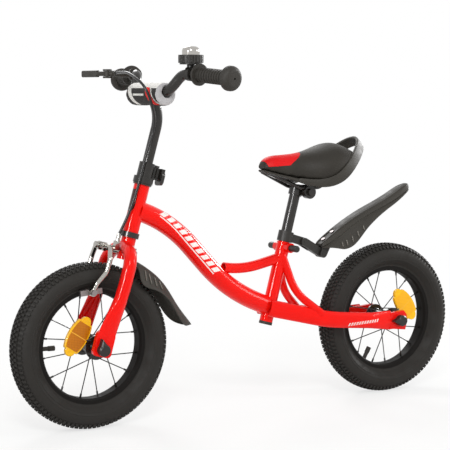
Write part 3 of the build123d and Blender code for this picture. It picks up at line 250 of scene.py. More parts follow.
def head_badge(tree, place):
    """Plain dark badge on the front of the head tube: a tall plate with rounded corners."""
    ahead, side, up = local_mm(tree, place, HEAD_LOW, -HEAD_RAKE)
    rounded = 0.0
    for value, middle, half in ((side, 0.0, 11.0), (up, 58.0, 21.0)):
        off = node(tree, "Math", {0: value, 1: middle}, operation="SUBTRACT").outputs[0]
        share = node(tree, "Math", {0: off, 1: half}, operation="DIVIDE").outputs[0]
        fourth = node(tree, "Math", {0: share, 1: 4.0}, operation="POWER").outputs[0]
        rounded = node(tree, "Math", {0: fourth, 1: rounded}, operation="ADD").outputs[0]
    return all_of(tree, within(tree, rounded, -1.0, 1.0, 0.03), within(tree, ahead, 0.0, 60.0, 0.3))


def saddle_vinyl(name):
    """Expanded vinyl on foam: pebbled leather grain, dull sheen, and a red panel over the nose."""
    made, tree, shader = finish_named(name, Specular_IOR_Level=0.2)
    place = node(tree, "TexCoord").outputs["Object"]
    x, _, z = local_mm(tree, place, (0, 0, 0), 0.0)
    # The panel ends at three slanting lines
    front = node(tree, "Math", {0: z, 1: -0.32, 2: x}, operation="MULTIPLY_ADD").outputs[0]
    rear = node(tree, "Math", {0: z, 1: 1.49, 2: x}, operation="MULTIPLY_ADD").outputs[0]
    low = node(tree, "Math", {0: x, 1: 0.045, 2: z}, operation="MULTIPLY_ADD").outputs[0]
    panel = all_of(tree, within(tree, front, -900.0, -190.5, 0.4), within(tree, rear, 615.5, 1200.0, 0.4),
                   within(tree, low, 466.2, 900.0, 0.4))
    seam = node(tree, "Math", {0: panel, 1: 0.5, 2: 0.45}, operation="COMPARE").outputs[0]
    cloud = node(tree, "TexNoise", {"Vector": place, "Scale": 1 / (30 * MM), "Detail": 3.0}).outputs["Fac"]
    black = layered(tree, linear("#282521"), (linear("#322F29"), cloud))
    red = layered(tree, linear("#DF0A10"), (linear("#D40910"), cloud))
    colour = layered(tree, black, (red, panel), (linear("#3A1412"), seam))
    tree.links.new(colour, shader.inputs["Base Color"])
    gloss = node(tree, "MapRange", {"Value": cloud, "To Min": 0.44, "To Max": 0.58})
    tree.links.new(gloss.outputs[0], shader.inputs["Roughness"])
    # Pebbles are drawn larger than real ones, so that they show
    pebble = node(tree, "TexVoronoi", {"Vector": place, "Scale": 1 / (2.2 * MM)}, feature="SMOOTH_F1")
    height = node(tree, "Math", {0: seam, 1: -2.0, 2: pebble.outputs["Distance"]}, operation="MULTIPLY_ADD")
    bump = node(tree, "Bump", {"Height": height.outputs[0], "Strength": 0.7, "Distance": 0.25 * MM})
    tree.links.new(bump.outputs["Normal"], shader.inputs["Normal"])
    return made


def pad_cover(name):
    """Printed woven cover on grey foam: black field, white back, red and white slants, foam ends."""
    made, tree, shader = finish_named(name, Roughness=0.7, Specular_IOR_Level=0.3)
    place = node(tree, "TexCoord").outputs["Object"]
    x, y, z = local_mm(tree, place, BAR_MID, 0.0)
    turn = node(tree, "Math", {0: z, 1: x}, operation="ARCTAN2").outputs[0]
    around = node(tree, "Math", {0: turn, 1: PAD_R}, operation="MULTIPLY").outputs[0]
    lean = node(tree, "Math", {0: around, 1: 0.55, 2: y}, operation="MULTIPLY_ADD").outputs[0]
    front = within(tree, around, -26.0, 14.0, 0.3)
    white = within(tree, around, 12.0, 60.0, 0.3)
    red = all_of(tree, within(tree, lean, 20.0, 38.0, 0.3), front)
    bar = all_of(tree, within(tree, lean, -48.0, -34.0, 0.3), front)
    thin = all_of(tree, within(tree, lean, 41.0, 44.0, 0.3), front)
    dashes = all_of(tree, within(tree, y, -30.0, 12.0, 0.3), within(tree, around, -3.0, 1.0, 0.3))
    pale = linear("#EDEBE6")
    cells = node(tree, "TexNoise", {"Vector": place, "Scale": 1 / (1.5 * MM), "Detail": 2.0}).outputs["Fac"]
    foam = layered(tree, linear("#BDBBBC"), (linear("#A5A3A5"), cells))
    cloud = node(tree, "TexNoise", {"Vector": place, "Scale": 1 / (10 * MM), "Detail": 2.0}).outputs["Fac"]
    field = layered(tree, linear("#1E1B19"), (linear("#2A2624"), cloud), (pale, white),
                    (linear("#E8150C"), red), (pale, bar), (pale, thin), (pale, dashes))
    cover = within(tree, y, -PAD_HALF, PAD_HALF, 0.3)
    tree.links.new(layered(tree, foam, (field, cover)), shader.inputs["Base Color"])
    # Threads lie 1.2 mm apart, wider than real ones, so that they show
    weave = 0.0
    for way in ("Y", "Z"):
        threads = node(tree, "TexWave", {"Vector": place, "Scale": 0.5 / (1.2 * MM)}, bands_direction=way)
        weave = node(tree, "Math", {0: threads.outputs["Fac"], 1: weave}, operation="ADD").outputs[0]
    height = layered(tree, cells, (weave, cover))
    bump = node(tree, "Bump", {"Height": height, "Strength": 0.5, "Distance": 0.2 * MM})
    tree.links.new(bump.outputs["Normal"], shader.inputs["Normal"])
    return made


def polished_metal(name, colour, roughness, grit):
    """Plated or bare metal: bright, with fine polishing haze of a grit in millimetres."""
    made, tree, shader = finish_named(name, Base_Color=linear(colour), Metallic=1.0)
    place = node(tree, "TexCoord").outputs["Object"]
    haze = node(tree, "TexNoise", {"Vector": place, "Scale": 1 / (grit * MM), "Detail": 3.0}).outputs["Fac"]
    gloss = node(tree, "MapRange", {
        "Value": haze, "From Min": 0.3, "From Max": 0.7,
        "To Min": roughness * 0.7, "To Max": roughness * 1.4,
    })
    tree.links.new(gloss.outputs[0], shader.inputs["Roughness"])
    bump = node(tree, "Bump", {"Height": haze, "Strength": 1.0, "Distance": 0.02 * MM})
    tree.links.new(bump.outputs["Normal"], shader.inputs["Normal"])
    return made


def amber_prism(name, middle, turn, field, groove):
    """Moulded amber acrylic reflector: prism field with a cross rib inside a clear yellow rim."""
    made, tree, shader = finish_named(name, Roughness=0.25, Specular_IOR_Level=0.2, Coat_Weight=0.1)
    place = node(tree, "TexCoord").outputs["Object"]
    along, _, up = local_mm(tree, place, middle, turn)
    waist = node(tree, "Math", {0: along, 1: along}, operation="MULTIPLY").outputs[0]
    off = node(tree, "Math", {0: up}, operation="ABSOLUTE").outputs[0]
    edge = node(tree, "Math", {0: waist, 1: 6 / 29 ** 2, 2: off}, operation="MULTIPLY_ADD").outputs[0]
    inside = all_of(tree, within(tree, edge, -17.0, 17.0, 0.4), within(tree, along, -26.0, 26.0, 0.4))
    rib = all_of(tree, inside, within(tree, along, 0.4, 1.8, 0.3))
    cells = node(tree, "TexVoronoi", {"Vector": place, "Scale": 1 / (3 * MM), "Randomness": 0.0})
    cells = cells.outputs["Distance"]
    cloud = node(tree, "TexNoise", {"Vector": place, "Scale": 1 / (12 * MM), "Detail": 2.0}).outputs["Fac"]
    rim = layered(tree, linear("#FFCF1C"), (linear("#F0A80C"), cloud))
    prisms = layered(tree, linear(field), (linear(groove), cells))
    colour = layered(tree, rim, (prisms, inside), (linear("#F2B43A"), rib))
    tree.links.new(colour, shader.inputs["Base Color"])
    bump = node(tree, "Bump", {"Height": cells, "Strength": 0.6, "Distance": 0.4 * MM})
    tree.links.new(bump.outputs["Normal"], shader.inputs["Normal"])
    return made


# Bar pad in millimetres: middle of the bar, radius round it, half length of the cover
BAR_MID = (206.5, 0.0, 607.0)
PAD_R = 22.0
PAD_HALF = 57.0
INK = "#F2EDE8"

RED = red_enamel("red_enamel")
RED_BARS = red_enamel("red_enamel_barred", INK, down_tube_marks)
RED_TICKS = red_enamel("red_enamel_ticked", INK, chain_stay_marks)
RED_BADGE = red_enamel("red_enamel_badged", "#1B1918", head_badge)
# Grains below are drawn coarser than real ones, so that they show
# Stove enamel on tube: clear streaks of light. Anodised rim: dull and darker
BLACK = mottled("black_enamel_steel", "#191613", "#221F1B", 0.24, 3, 0.03, Specular_IOR_Level=0.45)
RIM = mottled("black_anodised_alloy", "#131110", "#1B1917", 0.6, 2, 0.03, Specular_IOR_Level=0.1)
# Mould-textured plastics: soft broad sheen, ribs painted paler as a painted highlight along their ridges, darker
# and tighter on nylon
MOULDED = mottled("moulded_polypropylene", "#2D2A25", "#393630", 0.55, 1.1, 0.02, Specular_IOR_Level=0.28)
RIBS = mottled("polypropylene_painted_rib_highlight", "#55514A", "#69655D", 0.42, 1.1, 0.02, Specular_IOR_Level=0.4)
NYLON = mottled("moulded_black_nylon", "#1F1D1A", "#2A2824", 0.42, 0.9, 0.05, Specular_IOR_Level=0.35)
# Rubbers: flat and grainy on tyres, a little softer on grips, smooth vinyl on the cable
TYRE = mottled("tyre_rubber", "#1F1D1A", "#2B2825", 0.7, 1.2, 0.1, Specular_IOR_Level=0.25)
GRIP = mottled("grip_rubber", "#292622", "#34312C", 0.6, 1.1, 0.1, Specular_IOR_Level=0.3)
SHEATH = mottled("cable_sheath", "#131211", "#1C1A19", 0.34, 2, 0.03, Specular_IOR_Level=0.4)
# Metals, from mirror bright to the dull skin of a casting
BRIGHT = polished_metal("polished_steel", "#B4B1AC", 0.1, 8)
CHROME = polished_metal("chrome_plate", "#A9A6A0", 0.12, 8)
ZINC = polished_metal("zinc_steel", "#9A9892", 0.3, 4)
ALLOY = polished_metal("cast_alloy", "#8F8786", 0.42, 3)
# Moulded acrylic: the front reflector's field is painted browner and darker as painted shade
AMBER_FRONT_PAINTED_SHADE = amber_prism("amber_acrylic_front_painted_shade", (368.56, 0, 175.92), -123.0, "#CC7A0A", "#9C5703")
AMBER_REAR = amber_prism("amber_acrylic_rear", (-366.38, 0, 178.97), -232.0, "#FFC01A", "#E39A0C")
VINYL = saddle_vinyl("saddle_vinyl")
COVER = pad_cover("printed_pad_cover")

FINISH = {
    "red_paint": RED, "black_paint": BLACK, "black_plastic": MOULDED, "zinc_steel": ZINC,
    "chrome": CHROME, "amber_plastic": AMBER_FRONT_PAINTED_SHADE, "tyre_rubber": TYRE, "black_rubber": GRIP,
    "shoe_alloy": ALLOY, "cable_sheath": SHEATH, "saddle_vinyl": VINYL, "pad_fabric": COVER,
}
NYLON_NODES = (
    "front_axle_nuts", "rear_axle_nuts", "mudguard_strap", "mudguard_link", "mudguard_foot",
    "seat_clamp_bolts", "bell_base", "bell_ring",
)
SPECIAL = {
    "down_tube": RED_BARS, "chain_stay_left": RED_TICKS, "chain_stay_right": RED_TICKS,
    "head_tube": RED_BADGE, "front_rim": RIM, "rear_rim": RIM, "rear_reflector": AMBER_REAR,
    "mudguard_screws": ALLOY, "bell_dome": BRIGHT, **dict.fromkeys(NYLON_NODES, NYLON),
}
for part in frame["record"]["subparts"]:
    paint(NODES[part["node"]], SPECIAL.get(part["node"], FINISH[part["material_slot"]]))


# Pieces

# Tyre section from the tread's middle to the bead, offset and radius in millimetres
TYRE_HALF = (
    (0, 149.5), (1.5, 149.5), (6.8, 149.2), (9.0, 148.9), (14.6, 147.2), (16.8, 146.1), (22.2, 141.6),
    (24.6, 138.5), (26.6, 133.5), (27.3, 129.0), (26.9, 125.4), (27.4, 124.9), (27.2, 124.2), (25.7, 120.2),
    (26.0, 119.6), (25.2, 118.9), (21.6, 114.2), (17.6, 110.8), (15.4, 108.8), (15.2, 107.7), (15.2, 106.0),
    (12.6, 104.0), (0, 103.4),
)
# Tread: steps round the wheel, two to a block and its gap, rows of blocks, their least radius and height
TREAD_STEPS = 208
TREAD_ROWS = ((1.5, 6.8), (9.0, 14.6), (16.8, 22.2))
TREAD_R = 135
TREAD_HEIGHT = 3 * MM


def tyre(name, axle):
    """Pneumatic tyre: one section spun about the axle, then staggered tread blocks pushed out."""
    section = list(TYRE_HALF) + [(-side, radius) for side, radius in reversed(TYRE_HALF[1:-1])]
    deselected()
    bpy.ops.mesh.primitive_circle_add(vertices=len(section))
    made = named(name)
    for vertex, (side, radius) in zip(made.data.vertices, section):
        vertex.co = axle + Vector((0, side, radius)) * MM
    bpy.ops.object.mode_set(mode="EDIT")
    bpy.ops.mesh.select_all(action="SELECT")
    bpy.ops.mesh.spin(steps=TREAD_STEPS, angle=2 * pi, center=axle, axis=(0, 1, 0))
    bpy.ops.mesh.select_all(action="SELECT")
    bpy.ops.mesh.remove_doubles(threshold=0.05 * MM)
    bpy.ops.mesh.normals_make_consistent(inside=False)
    bpy.ops.mesh.select_mode(type="FACE")
    bpy.ops.mesh.select_all(action="DESELECT")
    bpy.ops.object.mode_set(mode="OBJECT")
    for face in made.data.polygons:
        place = (face.center - axle) / MM
        turn = round((atan2(place.x, place.z) % (2 * pi)) / (2 * pi) * TREAD_STEPS - 0.5)
        for row, (low, high) in enumerate(TREAD_ROWS):
            if low < abs(place.y) < high and sqrt(place.x ** 2 + place.z ** 2) > TREAD_R:
                face.select = (turn + row + (place.y > 0)) % 2 == 0
    bpy.ops.object.mode_set(mode="EDIT")
    bpy.ops.mesh.extrude_region_shrink_fatten(TRANSFORM_OT_shrink_fatten={"value": TREAD_HEIGHT})
    bpy.ops.object.mode_set(mode="OBJECT")
    smoothed(made, 40)
    return made


def skin(name, rows, wall, outside):
    """Thin moulded skin through rows of points, thickened inwards and rounded."""
    deselected()
    bpy.ops.mesh.primitive_grid_add(x_subdivisions=len(rows[0]) - 1, y_subdivisions=len(rows) - 1)
    made = named(name)
    for vertex, point in zip(made.data.vertices, [point for row in rows for point in row]):
        vertex.co = point
    made.data.update()
    middle = made.data.polygons[len(made.data.polygons) // 2]
    if middle.normal.dot(Vector(outside)) < 0:
        bpy.ops.object.mode_set(mode="EDIT")
        bpy.ops.mesh.select_all(action="SELECT")
        bpy.ops.mesh.flip_normals()
        bpy.ops.object.mode_set(mode="OBJECT")
    applied(made, "SOLIDIFY", thickness=wall, offset=-1.0, use_even_offset=True)
    applied(made, "SUBSURF", levels=2, render_levels=2)
    smoothed(made, 50)
    return made


RIB_R = 1.4 * MM
RIB_LIFT = 0.6 * MM


def bead(start, end):
    """Moulded rib with round ends lying from start to end."""
    run = Vector(end) - Vector(start)
    deselected()
    bpy.ops.mesh.primitive_uv_sphere_add(segments=12, ring_count=8, radius=RIB_R)
    made = bpy.context.object
    for vertex in made.data.vertices:
        vertex.co.z += run.length / 2 * (1 if vertex.co.z > 0.0001 * RIB_R else -1)
    made.rotation_euler = run.to_track_quat("Z", "X").to_euler()
    made.location = (Vector(start) + Vector(end)) / 2
    bpy.ops.object.transform_apply(location=True, rotation=True, scale=True)
    return made


# Front guard: angle behind the top of the wheel, radius, half widths of ridge and skirt, depth
FRONT_GUARD = (
    (29.5, 174.5, 12.0, 15.0, 9), (33.0, 174.8, 13.5, 24.0, 9), (36.0, 175.2, 15.0, 31.0, 24),
    (39.0, 175.9, 15.5, 34.0, 33), (43.8, 177.2, 16.5, 35.5, 34.5), (48.2, 178.8, 17.0, 35.5, 29),
    (54.0, 180.4, 17.0, 34.0, 21.5), (60.4, 182.0, 16.5, 32.5, 16.5), (68.8, 185.2, 15.0, 32.0, 15),
    (74.5, 191.6, 13.5, 31.0, 18.5), (79.4, 200.6, 11.0, 28.0, 20.5), (82.6, 208.3, 6.5, 20.5, 21),
    (84.4, 213.0, 1.5, 8.0, 14),
)


def front_point(angle, radius, side):
    """Point about the front axle: angle behind the top, radius and offset in millimetres."""
    a = radians(angle)
    return FRONT_AXLE + Vector((-radius * sin(a), side, radius * cos(a))) * MM


def front_row(angle, radius, ridge, skirt, depth):
    """Half-round ridge that turns out into a flared skirt on each side."""
    half = [(0, 1.2), (0.55, 0.8), (0.93, -1.2)]
    row = [(ridge * across, lift) for across, lift in half]
    row += [(ridge + (skirt - ridge) * share, -1.2 - (depth - 1.2) * fall)
            for share, fall in ((0.20, 0.16), (0.46, 0.42), (0.74, 0.72), (1.0, 1.0))]
    return [front_point(angle, radius + lift, -side) for side, lift in reversed(row[1:])] + [
        front_point(angle, radius + lift, side) for side, lift in row]


# Rear guard: x, z of the screw floor, lip height, recess (1) or closed top (0),
# half widths of ridge, crease and skirt, drops of crease and skirt
REAR_GUARD = (
    (-170, 310.5, 2.0, 1, 11.5, 13.0, 14.0, 4, 6), (-176, 314.8, 2.6, 1, 12.5, 15.0, 18.0, 6, 10),
    (-187, 322.5, 3.0, 1, 13.0, 17.0, 24.0, 8, 17), (-207, 335.5, 3.2, 1, 13.0, 18.5, 30.5, 10, 34),
    (-212, 338.7, 3.2, 0.15, 13.0, 19.0, 32.0, 10.5, 38), (-226, 347.3, 3.0, 0, 13.0, 19.5, 34.0, 9, 44),
    (-241, 356.3, 2.5, 0, 13.0, 20.0, 34.5, 8.5, 43), (-255, 364.0, 2.0, 0, 13.0, 20.0, 34.0, 8.5, 35),
    (-272, 373.1, 1.5, 0, 13.0, 20.0, 32.5, 8.5, 27), (-305, 387.2, 1.0, 0, 13.5, 20.0, 27.0, 9, 20),
    (-330, 398.5, 0.6, 0, 13.5, 19.5, 23.5, 10.5, 18.5), (-351, 409.6, 0.4, 0, 13.0, 18.5, 21.0, 13, 19),
    (-368, 419.5, 0.2, 0, 12.5, 17.0, 18.5, 13, 18), (-380, 424.0, 0.0, 0, 10.5, 14.0, 15.0, 12, 15.5),
    (-387.5, 425.0, 0.0, 0, 7.5, 9.8, 10.4, 9, 12),
)


def rear_row(x, z, lip, recess, ridge, crease, skirt, crease_drop, drop):
    """Top with a sunk screw floor or a closed ridge, a side band, a crease and a flared skirt."""
    floor = (1 - recess) * (lip + 0.8)
    row = [(0, floor), (0.55 * ridge, floor), (0.68 * ridge, lip), (0.95 * ridge, lip - 0.4),
           (ridge + 0.5 * (crease - ridge), lip - 2.2), (crease, -0.9 * crease_drop),
           (crease, -crease_drop), (crease - 1.8, -crease_drop - 0.4)]
    row += [(crease - 1.8 + share * (skirt - crease + 1.8), -crease_drop - fall * (drop - crease_drop))
            for share, fall in ((0.15, 0.14), (0.45, 0.36), (0.78, 0.7), (1.0, 1.0))]
    sides = [(-across, lift) for across, lift in reversed(row[1:])] + row
    return [Vector((x, across, z + lift)) * MM for across, lift in sides]


# Saddle shell: x, half width, height of its deck, depth of its skirt
SHELL = (
    (-34, 11, 462.5, 3), (-38, 15.5, 461.5, 4), (-46, 21, 459, 5), (-62, 25, 455, 5.5),
    (-80, 28, 450.5, 6), (-100, 33.5, 446, 9), (-120, 41, 442, 11), (-136, 50.5, 440, 11.5),
    (-150, 59, 439.5, 11), (-168, 62.5, 442, 8), (-185, 62.5, 447, 6), (-200, 58, 456, 5),
    (-214, 50, 466, 5), (-226, 41, 476, 5), (-233, 32, 481, 5), (-236, 24, 483.5, 4),
)


def shell_row(x, half, deck, depth):
    """Deck with rounded shoulders and a skirt turned down on each side."""
    row = [(0, deck), (0.5 * half, deck), (0.84 * half, deck - 0.3), (half - 1.6, deck - 1.4),
           (half, deck - 0.45 * depth), (half - 0.4, deck - depth)]
    sides = [(-across, height) for across, height in reversed(row[1:])] + row
    return [Vector((x, across, height)) * MM for across, height in sides]


# Left half of the loop from the skirt to its back: x, y, z, half height and lean of its outer face
LOOP = (
    (-98, 34.5, 441.8, 5.0, 0), (-120, 43.0, 437.0, 7.0, 2), (-136, 52.0, 435.3, 8.2, 5),
    (-150, 60.0, 436.5, 9.2, 10), (-164, 64.5, 440.5, 10.0, 20), (-178, 66.0, 447.0, 10.6, 32),
    (-191, 65.0, 456.0, 11.0, 41), (-205, 60.5, 468.0, 11.2, 43), (-219, 53.5, 480.0, 11.4, 43),
    (-233, 44.0, 492.0, 11.5, 43), (-245, 34.0, 502.0, 11.5, 42), (-254, 23.5, 509.7, 11.5, 41),
    (-259.5, 12.0, 514.3, 11.5, 41), (-261.5, 0.0, 516.0, 11.5, 41),
)


def loop_rows():
    """Outer face of the grab loop: from the left skirt round the back to the right skirt."""
    left = [(Vector(row[:3]), row[3], row[4]) for row in LOOP]
    path = left + [(Vector((p.x, -p.y, p.z)), half, lean) for p, half, lean in reversed(left[:-1])]
    rows = []
    for place, (point, half, lean) in enumerate(path):
        run = path[min(place + 1, len(path) - 1)][0] - path[max(place - 1, 0)][0]
        rise = Vector((sin(radians(lean)), 0, cos(radians(lean))))
        out = run.cross(rise).normalized()
        rows.append([(point + rise * (half * s) + out * (1.2 * (1 - s * s))) * MM
                     for s in (-1, -0.85, -0.35, 0.35, 0.85, 1)])
    return rows


# Rows where each rib starts and ends, and the columns of its upper and lower end
FRONT_RIBS = ((2.7, 3.5), (3.55, 4.4), (4.55, 5.25), (5.35, 6.0))
FRONT_RIB_COLUMNS = (2.6, 1.2)
REAR_RIBS = tuple((row, row) for row in (3.4, 4.5, 5.4, 6.3, 7.2))
REAR_RIB_COLUMNS = (1.6, 0.75)


def skirt_point(rows, place, column):
    """Point on a left skirt at a row and a column, both fractional, columns counted from the edge."""
    row, side = int(place), int(column)
    outer, inner = (rows[row][-1 - k].lerp(rows[row + 1][-1 - k], place - row) for k in (side, side + 1))
    return outer.lerp(inner, column - side)


def guard_ribs(name, rows, spans, columns):
    """Moulded ribs on both skirts, each from the upper column of one row to the lower column of another."""
    ribs = []
    for span in spans:
        ends = [skirt_point(rows, place, column) for place, column in zip(span, columns)]
        for side in (1, -1):
            ribs.append(bead(*[(p.x, side * (p.y + RIB_LIFT), p.z + RIB_LIFT) for p in ends]))
    made = joined(ribs, name)
    smoothed(made, 50)
    return made


# Plate and foot of the crown bracket: size, then its middle ahead of and above the head tube's foot
CROWN_TAB = (((2.9, 18, 25), (-15.05, -39.5)), ((7.9, 18, 10), (-17.55, -52.0)))


def crown_tab():
    """Bracket behind the fork crown that the brake bolt clamps, with its foot on the guard."""
    lean = radians(HEAD_RAKE)
    up, ahead = Vector((-sin(lean), 0, cos(lean))), Vector((cos(lean), 0, sin(lean)))
    pieces = []
    for size, (forward, rise) in CROWN_TAB:
        deselected()
        bpy.ops.mesh.primitive_cube_add(size=1)
        tab = bpy.context.object
        tab.scale = Vector(size) * MM
        tab.rotation_euler = (0, -lean, 0)
        tab.location = (HEAD_LOW + ahead * forward + up * rise) * MM
        bpy.ops.object.transform_apply(location=True, rotation=True, scale=True)
        applied(tab, "BEVEL", width=1.2 * MM, segments=3)
        pieces.append(tab)
    return pieces


GUARD_WALL = 2.5 * MM
DECK_WALL = 3 * MM
LOOP_WALL = 6 * MM


def front_guard(rows):
    """Front mudguard: flared skin and its crown bracket."""
    cover = skin("guard_skin", rows, GUARD_WALL, (-1, 0, 1))
    made = joined([cover] + crown_tab(), "front_mudguard_blade")
    smoothed(made, 50)
    return made


def rear_guard(rows):
    """Rear mudguard: sunk screw floor, ridge, side bands and flared skirts."""
    return skin("rear_mudguard_blade", rows, GUARD_WALL, (0, 0, 1))


def saddle_base():
    """Moulded saddle shell: deck with a turned-down skirt and the grab loop round its back."""
    deck = skin("shell_deck", [shell_row(*row) for row in SHELL], DECK_WALL, (0, 0, 1))
    loop = skin("shell_loop", loop_rows(), LOOP_WALL, (-1, 0, 0))
    made = joined([deck, loop], "saddle_base")
    smoothed(made, 50)
    return made


SWELL_PRESSURE = 4.0
SWELL_STEPS = 20


def swollen(source, name, voxel, shrink, cap, held):
    """Soft piece from a CAD solid: remeshed, drawn in, then blown up as cloth under pressure.

    held says which points stay put; cap is the furthest that a point may move.
    """
    deselected()
    made = bpy.data.objects.new(name, NODES[source].data.copy())
    made.data.name = name
    bpy.context.scene.collection.objects.link(made)
    made.select_set(True)
    bpy.context.view_layer.objects.active = made
    bpy.ops.object.mode_set(mode="EDIT")
    bpy.ops.mesh.select_all(action="SELECT")
    bpy.ops.mesh.remove_doubles(threshold=0.02 * MM)
    bpy.ops.object.mode_set(mode="OBJECT")
    applied(made, "REMESH", mode="VOXEL", voxel_size=voxel)
    applied(made, "SMOOTH", factor=0.5, iterations=6)
    pins = made.vertex_groups.new(name="held")
    pins.add([v.index for v in made.data.vertices if held(v)], 1.0, "REPLACE")
    for vertex in made.data.vertices:
        if not held(vertex):
            vertex.co -= vertex.normal * shrink
    before = [v.co.copy() for v in made.data.vertices]
    cloth = made.modifiers.new("swell", "CLOTH")
    cloth.settings.use_pressure = True
    cloth.settings.uniform_pressure_force = SWELL_PRESSURE
    cloth.settings.effector_weights.gravity = 0.0
    cloth.settings.vertex_group_mass = "held"
    for step in range(1, SWELL_STEPS + 1):
        bpy.context.scene.frame_set(step)
    shaped = made.evaluated_get(bpy.context.evaluated_depsgraph_get()).data
    after = [v.co.copy() for v in shaped.vertices]
    made.modifiers.remove(cloth)
    bpy.context.scene.frame_set(1)
    for vertex, old, new in zip(made.data.vertices, before, after):
        move = new - old
        vertex.co = old + move * min(1.0, cap / max(move.length, 1e-9))
    made.vertex_groups.clear()
    applied(made, "SUBSURF", levels=1, render_levels=1)
    smoothed(made, 60)
    return made


# Cable from the lever round the front of the pad and down to its stop, within 9 mm of the CAD solid
CABLE = (
    (228.06, -96.7, 646.0), (240, -36, 649), (246, 9, 639.5), (243.5, 47, 623), (231, 51, 592),
    (205, 19, 553), (222.70, 16, 503.58), (251.20, 16, 402.52), (273.55, 5, 354.58),
)
CABLE_D = 5.0 * MM
CABLE_SIDES = 12


def cable_line():
    """Points along the smooth line that the cable's route controls."""
    line = bpy.data.curves.new("cable_line", "CURVE")
    line.dimensions = "3D"
    line.resolution_u = 24
    spline = line.splines.new("NURBS")
    spline.points.add(len(CABLE) - 1)
    for point, place in zip(spline.points, CABLE):
        point.co = (*(Vector(place) * MM), 1.0)
    spline.order_u = 3
    spline.use_endpoint_u = True
    holder = bpy.data.objects.new("cable_line", line)
    bpy.context.scene.collection.objects.link(holder)
    drawn = bpy.data.meshes.new_from_object(holder)
    points = [v.co.copy() for v in drawn.vertices]
    bpy.data.objects.remove(holder)
    bpy.data.meshes.remove(drawn)
    return points


def brake_cable():
    """Round sheath swept along the cable's line, with closed ends, and the points of that line."""
    points = cable_line()
    aside = Vector((0.31, 0.93, 0.2))
    corners = []
    for place, point in enumerate(points):
        run = (points[min(place + 1, len(points) - 1)] - points[max(place - 1, 0)]).normalized()
        side = run.cross(aside).normalized()
        up = side.cross(run)
        for turn in (2 * pi * k / CABLE_SIDES for k in range(CABLE_SIDES)):
            corners.append(point + (side * cos(turn) + up * sin(turn)) * (CABLE_D / 2))
    ring = range(CABLE_SIDES)
    faces = [list(reversed(ring)), [len(corners) - CABLE_SIDES + k for k in ring]]
    for first in range(0, len(corners) - CABLE_SIDES, CABLE_SIDES):
        for k in ring:
            pair = first + k, first + (k + 1) % CABLE_SIDES
            faces.append([*pair, pair[1] + CABLE_SIDES, pair[0] + CABLE_SIDES])
    deselected()
    bpy.ops.mesh.primitive_cylinder_add(vertices=CABLE_SIDES, radius=CABLE_D / 2, depth=1.0)
    made = named("brake_cable_sheath")
    made.data.clear_geometry()
    made.data.from_pydata(corners, [], faces)
    smoothed(made, 60)
    return made, points


# The pieces in place

for end, axle in (("front", FRONT_AXLE), ("rear", REAR_AXLE)):
    placed(tyre(f"{end}_tyre_tread", axle), f"{end}_wheel", "tyre_rubber", TYRE, f"{end}_tyre")

front_rows = [front_row(*row) for row in FRONT_GUARD]
rear_rows = [rear_row(*row) for row in REAR_GUARD]
front_ribs = guard_ribs("front_mudguard_ribs", front_rows, FRONT_RIBS, FRONT_RIB_COLUMNS)
rear_ribs = guard_ribs("rear_mudguard_ribs", rear_rows, REAR_RIBS, REAR_RIB_COLUMNS)
placed(front_guard(front_rows), "fork", "black_plastic", MOULDED, "front_mudguard")
placed(rear_guard(rear_rows), "rear_guard", "black_plastic", MOULDED, "rear_mudguard")
# The ribs' paler colour is a painted highlight
placed(front_ribs, "fork", "black_plastic", RIBS)
placed(rear_ribs, "rear_guard", "black_plastic", RIBS)
placed(saddle_base(), "saddle", "black_plastic", MOULDED, "saddle_shell")

cushion = swollen("saddle_pad", "saddle_cushion", voxel=4 * MM, shrink=-0.6 * MM, cap=4 * MM,
                  held=lambda vertex: vertex.normal.z < -0.5)
placed(cushion, "saddle", "saddle_vinyl", VINYL, "saddle_pad")

pad = swollen("bar_pad", "bar_pad_cover", voxel=3 * MM, shrink=0.8 * MM, cap=3 * MM,
              held=lambda vertex: abs(vertex.co.y) > (PAD_HALF - 1) * MM)
placed(pad, "handlebar", "pad_fabric", COVER, "bar_pad")

sheath, line = brake_cable()
paint(sheath, SHEATH)
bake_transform(sheath)
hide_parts("brake_cable")


# Floor, light and camera

def backdrop_rays(tree):
    """Mask that is 1 for rays from the camera and for those that metal or glass sends on."""
    rays = node(tree, "LightPath").outputs
    mask = rays["Is Camera Ray"]
    for kind in ("Is Glossy Ray", "Is Transmission Ray"):
        mask = node(tree, "Math", {0: mask, 1: rays[kind]}, operation="MAXIMUM").outputs[0]
    return mask


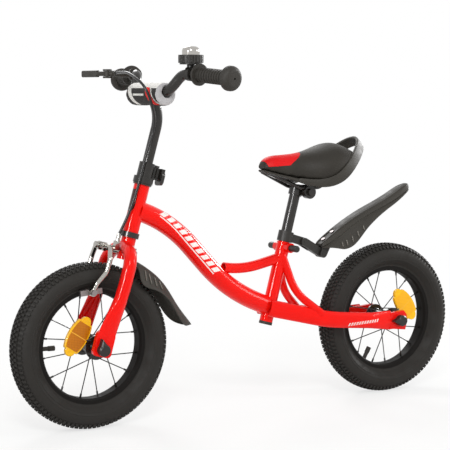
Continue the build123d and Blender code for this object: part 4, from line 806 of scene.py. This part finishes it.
def pale_floor(name):
    """Matt pale floor that keeps the shadow and fades to white away from the bike."""
    made, tree, shader = finish_named(name, Base_Color=linear("#F4F4F2"), Roughness=0.9)
    place = node(tree, "TexCoord").outputs["Object"]
    far = node(tree, "VectorMath", {0: place}, operation="LENGTH").outputs["Value"]
    fade = node(tree, "MapRange", {
        "Value": far, "From Min": 0.4, "From Max": 1.2, "To Min": 0.7,
    }, interpolation_type="SMOOTHSTEP").outputs["Result"]
    white = node(tree, "Emission", {"Color": (1, 1, 1, 1), "Strength": 1.0}).outputs["Emission"]
    mix = node(tree, "MixShader", {
        0: all_of(tree, backdrop_rays(tree), fade), 1: shader.outputs["BSDF"], 2: white,
    })
    tree.links.new(mix.outputs["Shader"], tree.nodes["Material Output"].inputs["Surface"])
    return made


def softbox(name, at, aim, size, power, lights_surfaces=True):
    """Square area lamp turned towards a point; one that lights no surfaces shows only in their gloss."""
    lamp = bpy.data.lights.new(name, "AREA")
    lamp.size = size
    lamp.energy = power
    holder = bpy.data.objects.new(name, lamp)
    bpy.context.scene.collection.objects.link(holder)
    holder.location = at
    holder.rotation_euler = (Vector(aim) - Vector(at)).to_track_quat("-Z", "Y").to_euler()
    holder.visible_diffuse = lights_surfaces


deselected()
bpy.ops.mesh.primitive_plane_add(size=40)
floor = named("floor")
paint(floor, pale_floor("pale_floor"))

world = bpy.data.worlds.new("studio")
bpy.context.scene.world = world
world.use_nodes = True
sky = world.node_tree
level = node(sky, "MapRange", {"Value": backdrop_rays(sky), "To Min": 0.55, "To Max": 1.0})
sky.nodes["Background"].inputs["Color"].default_value = (1, 1, 1, 1)
sky.links.new(level.outputs["Result"], sky.nodes["Background"].inputs["Strength"])

softbox("key", (1.6, 2.6, 2.6), (0, 0, 0.35), 0.9, 60)
softbox("fill", (-2.4, 1.6, 1.4), (0, 0, 0.3), 0.9, 22)
softbox("rim", (-0.6, -2.4, 2.2), (0, 0, 0.35), 1.0, 30)
softbox("fork_glint", (2.6, 1.1, 1.1), (0.25, 0, 0.35), 0.5, 45, lights_surfaces=False)
softbox("loop_sheen", (-2.5, -0.5, 1.2), (-0.24, 0.03, 0.5), 0.5, 60, lights_surfaces=False)

# Camera fitted to the outlines of both wheels
lens = bpy.data.cameras.new("camera")
lens.lens = 113.95
lens.sensor_width = 36.0
camera = bpy.data.objects.new("camera", lens)
bpy.context.scene.collection.objects.link(camera)
camera.location = (1.43376, 2.31841, 0.61498)
camera.rotation_euler = (radians(84.583), radians(-0.153), radians(149.121))
bpy.context.scene.camera = camera
bpy.context.scene.view_settings.view_transform = "Standard"
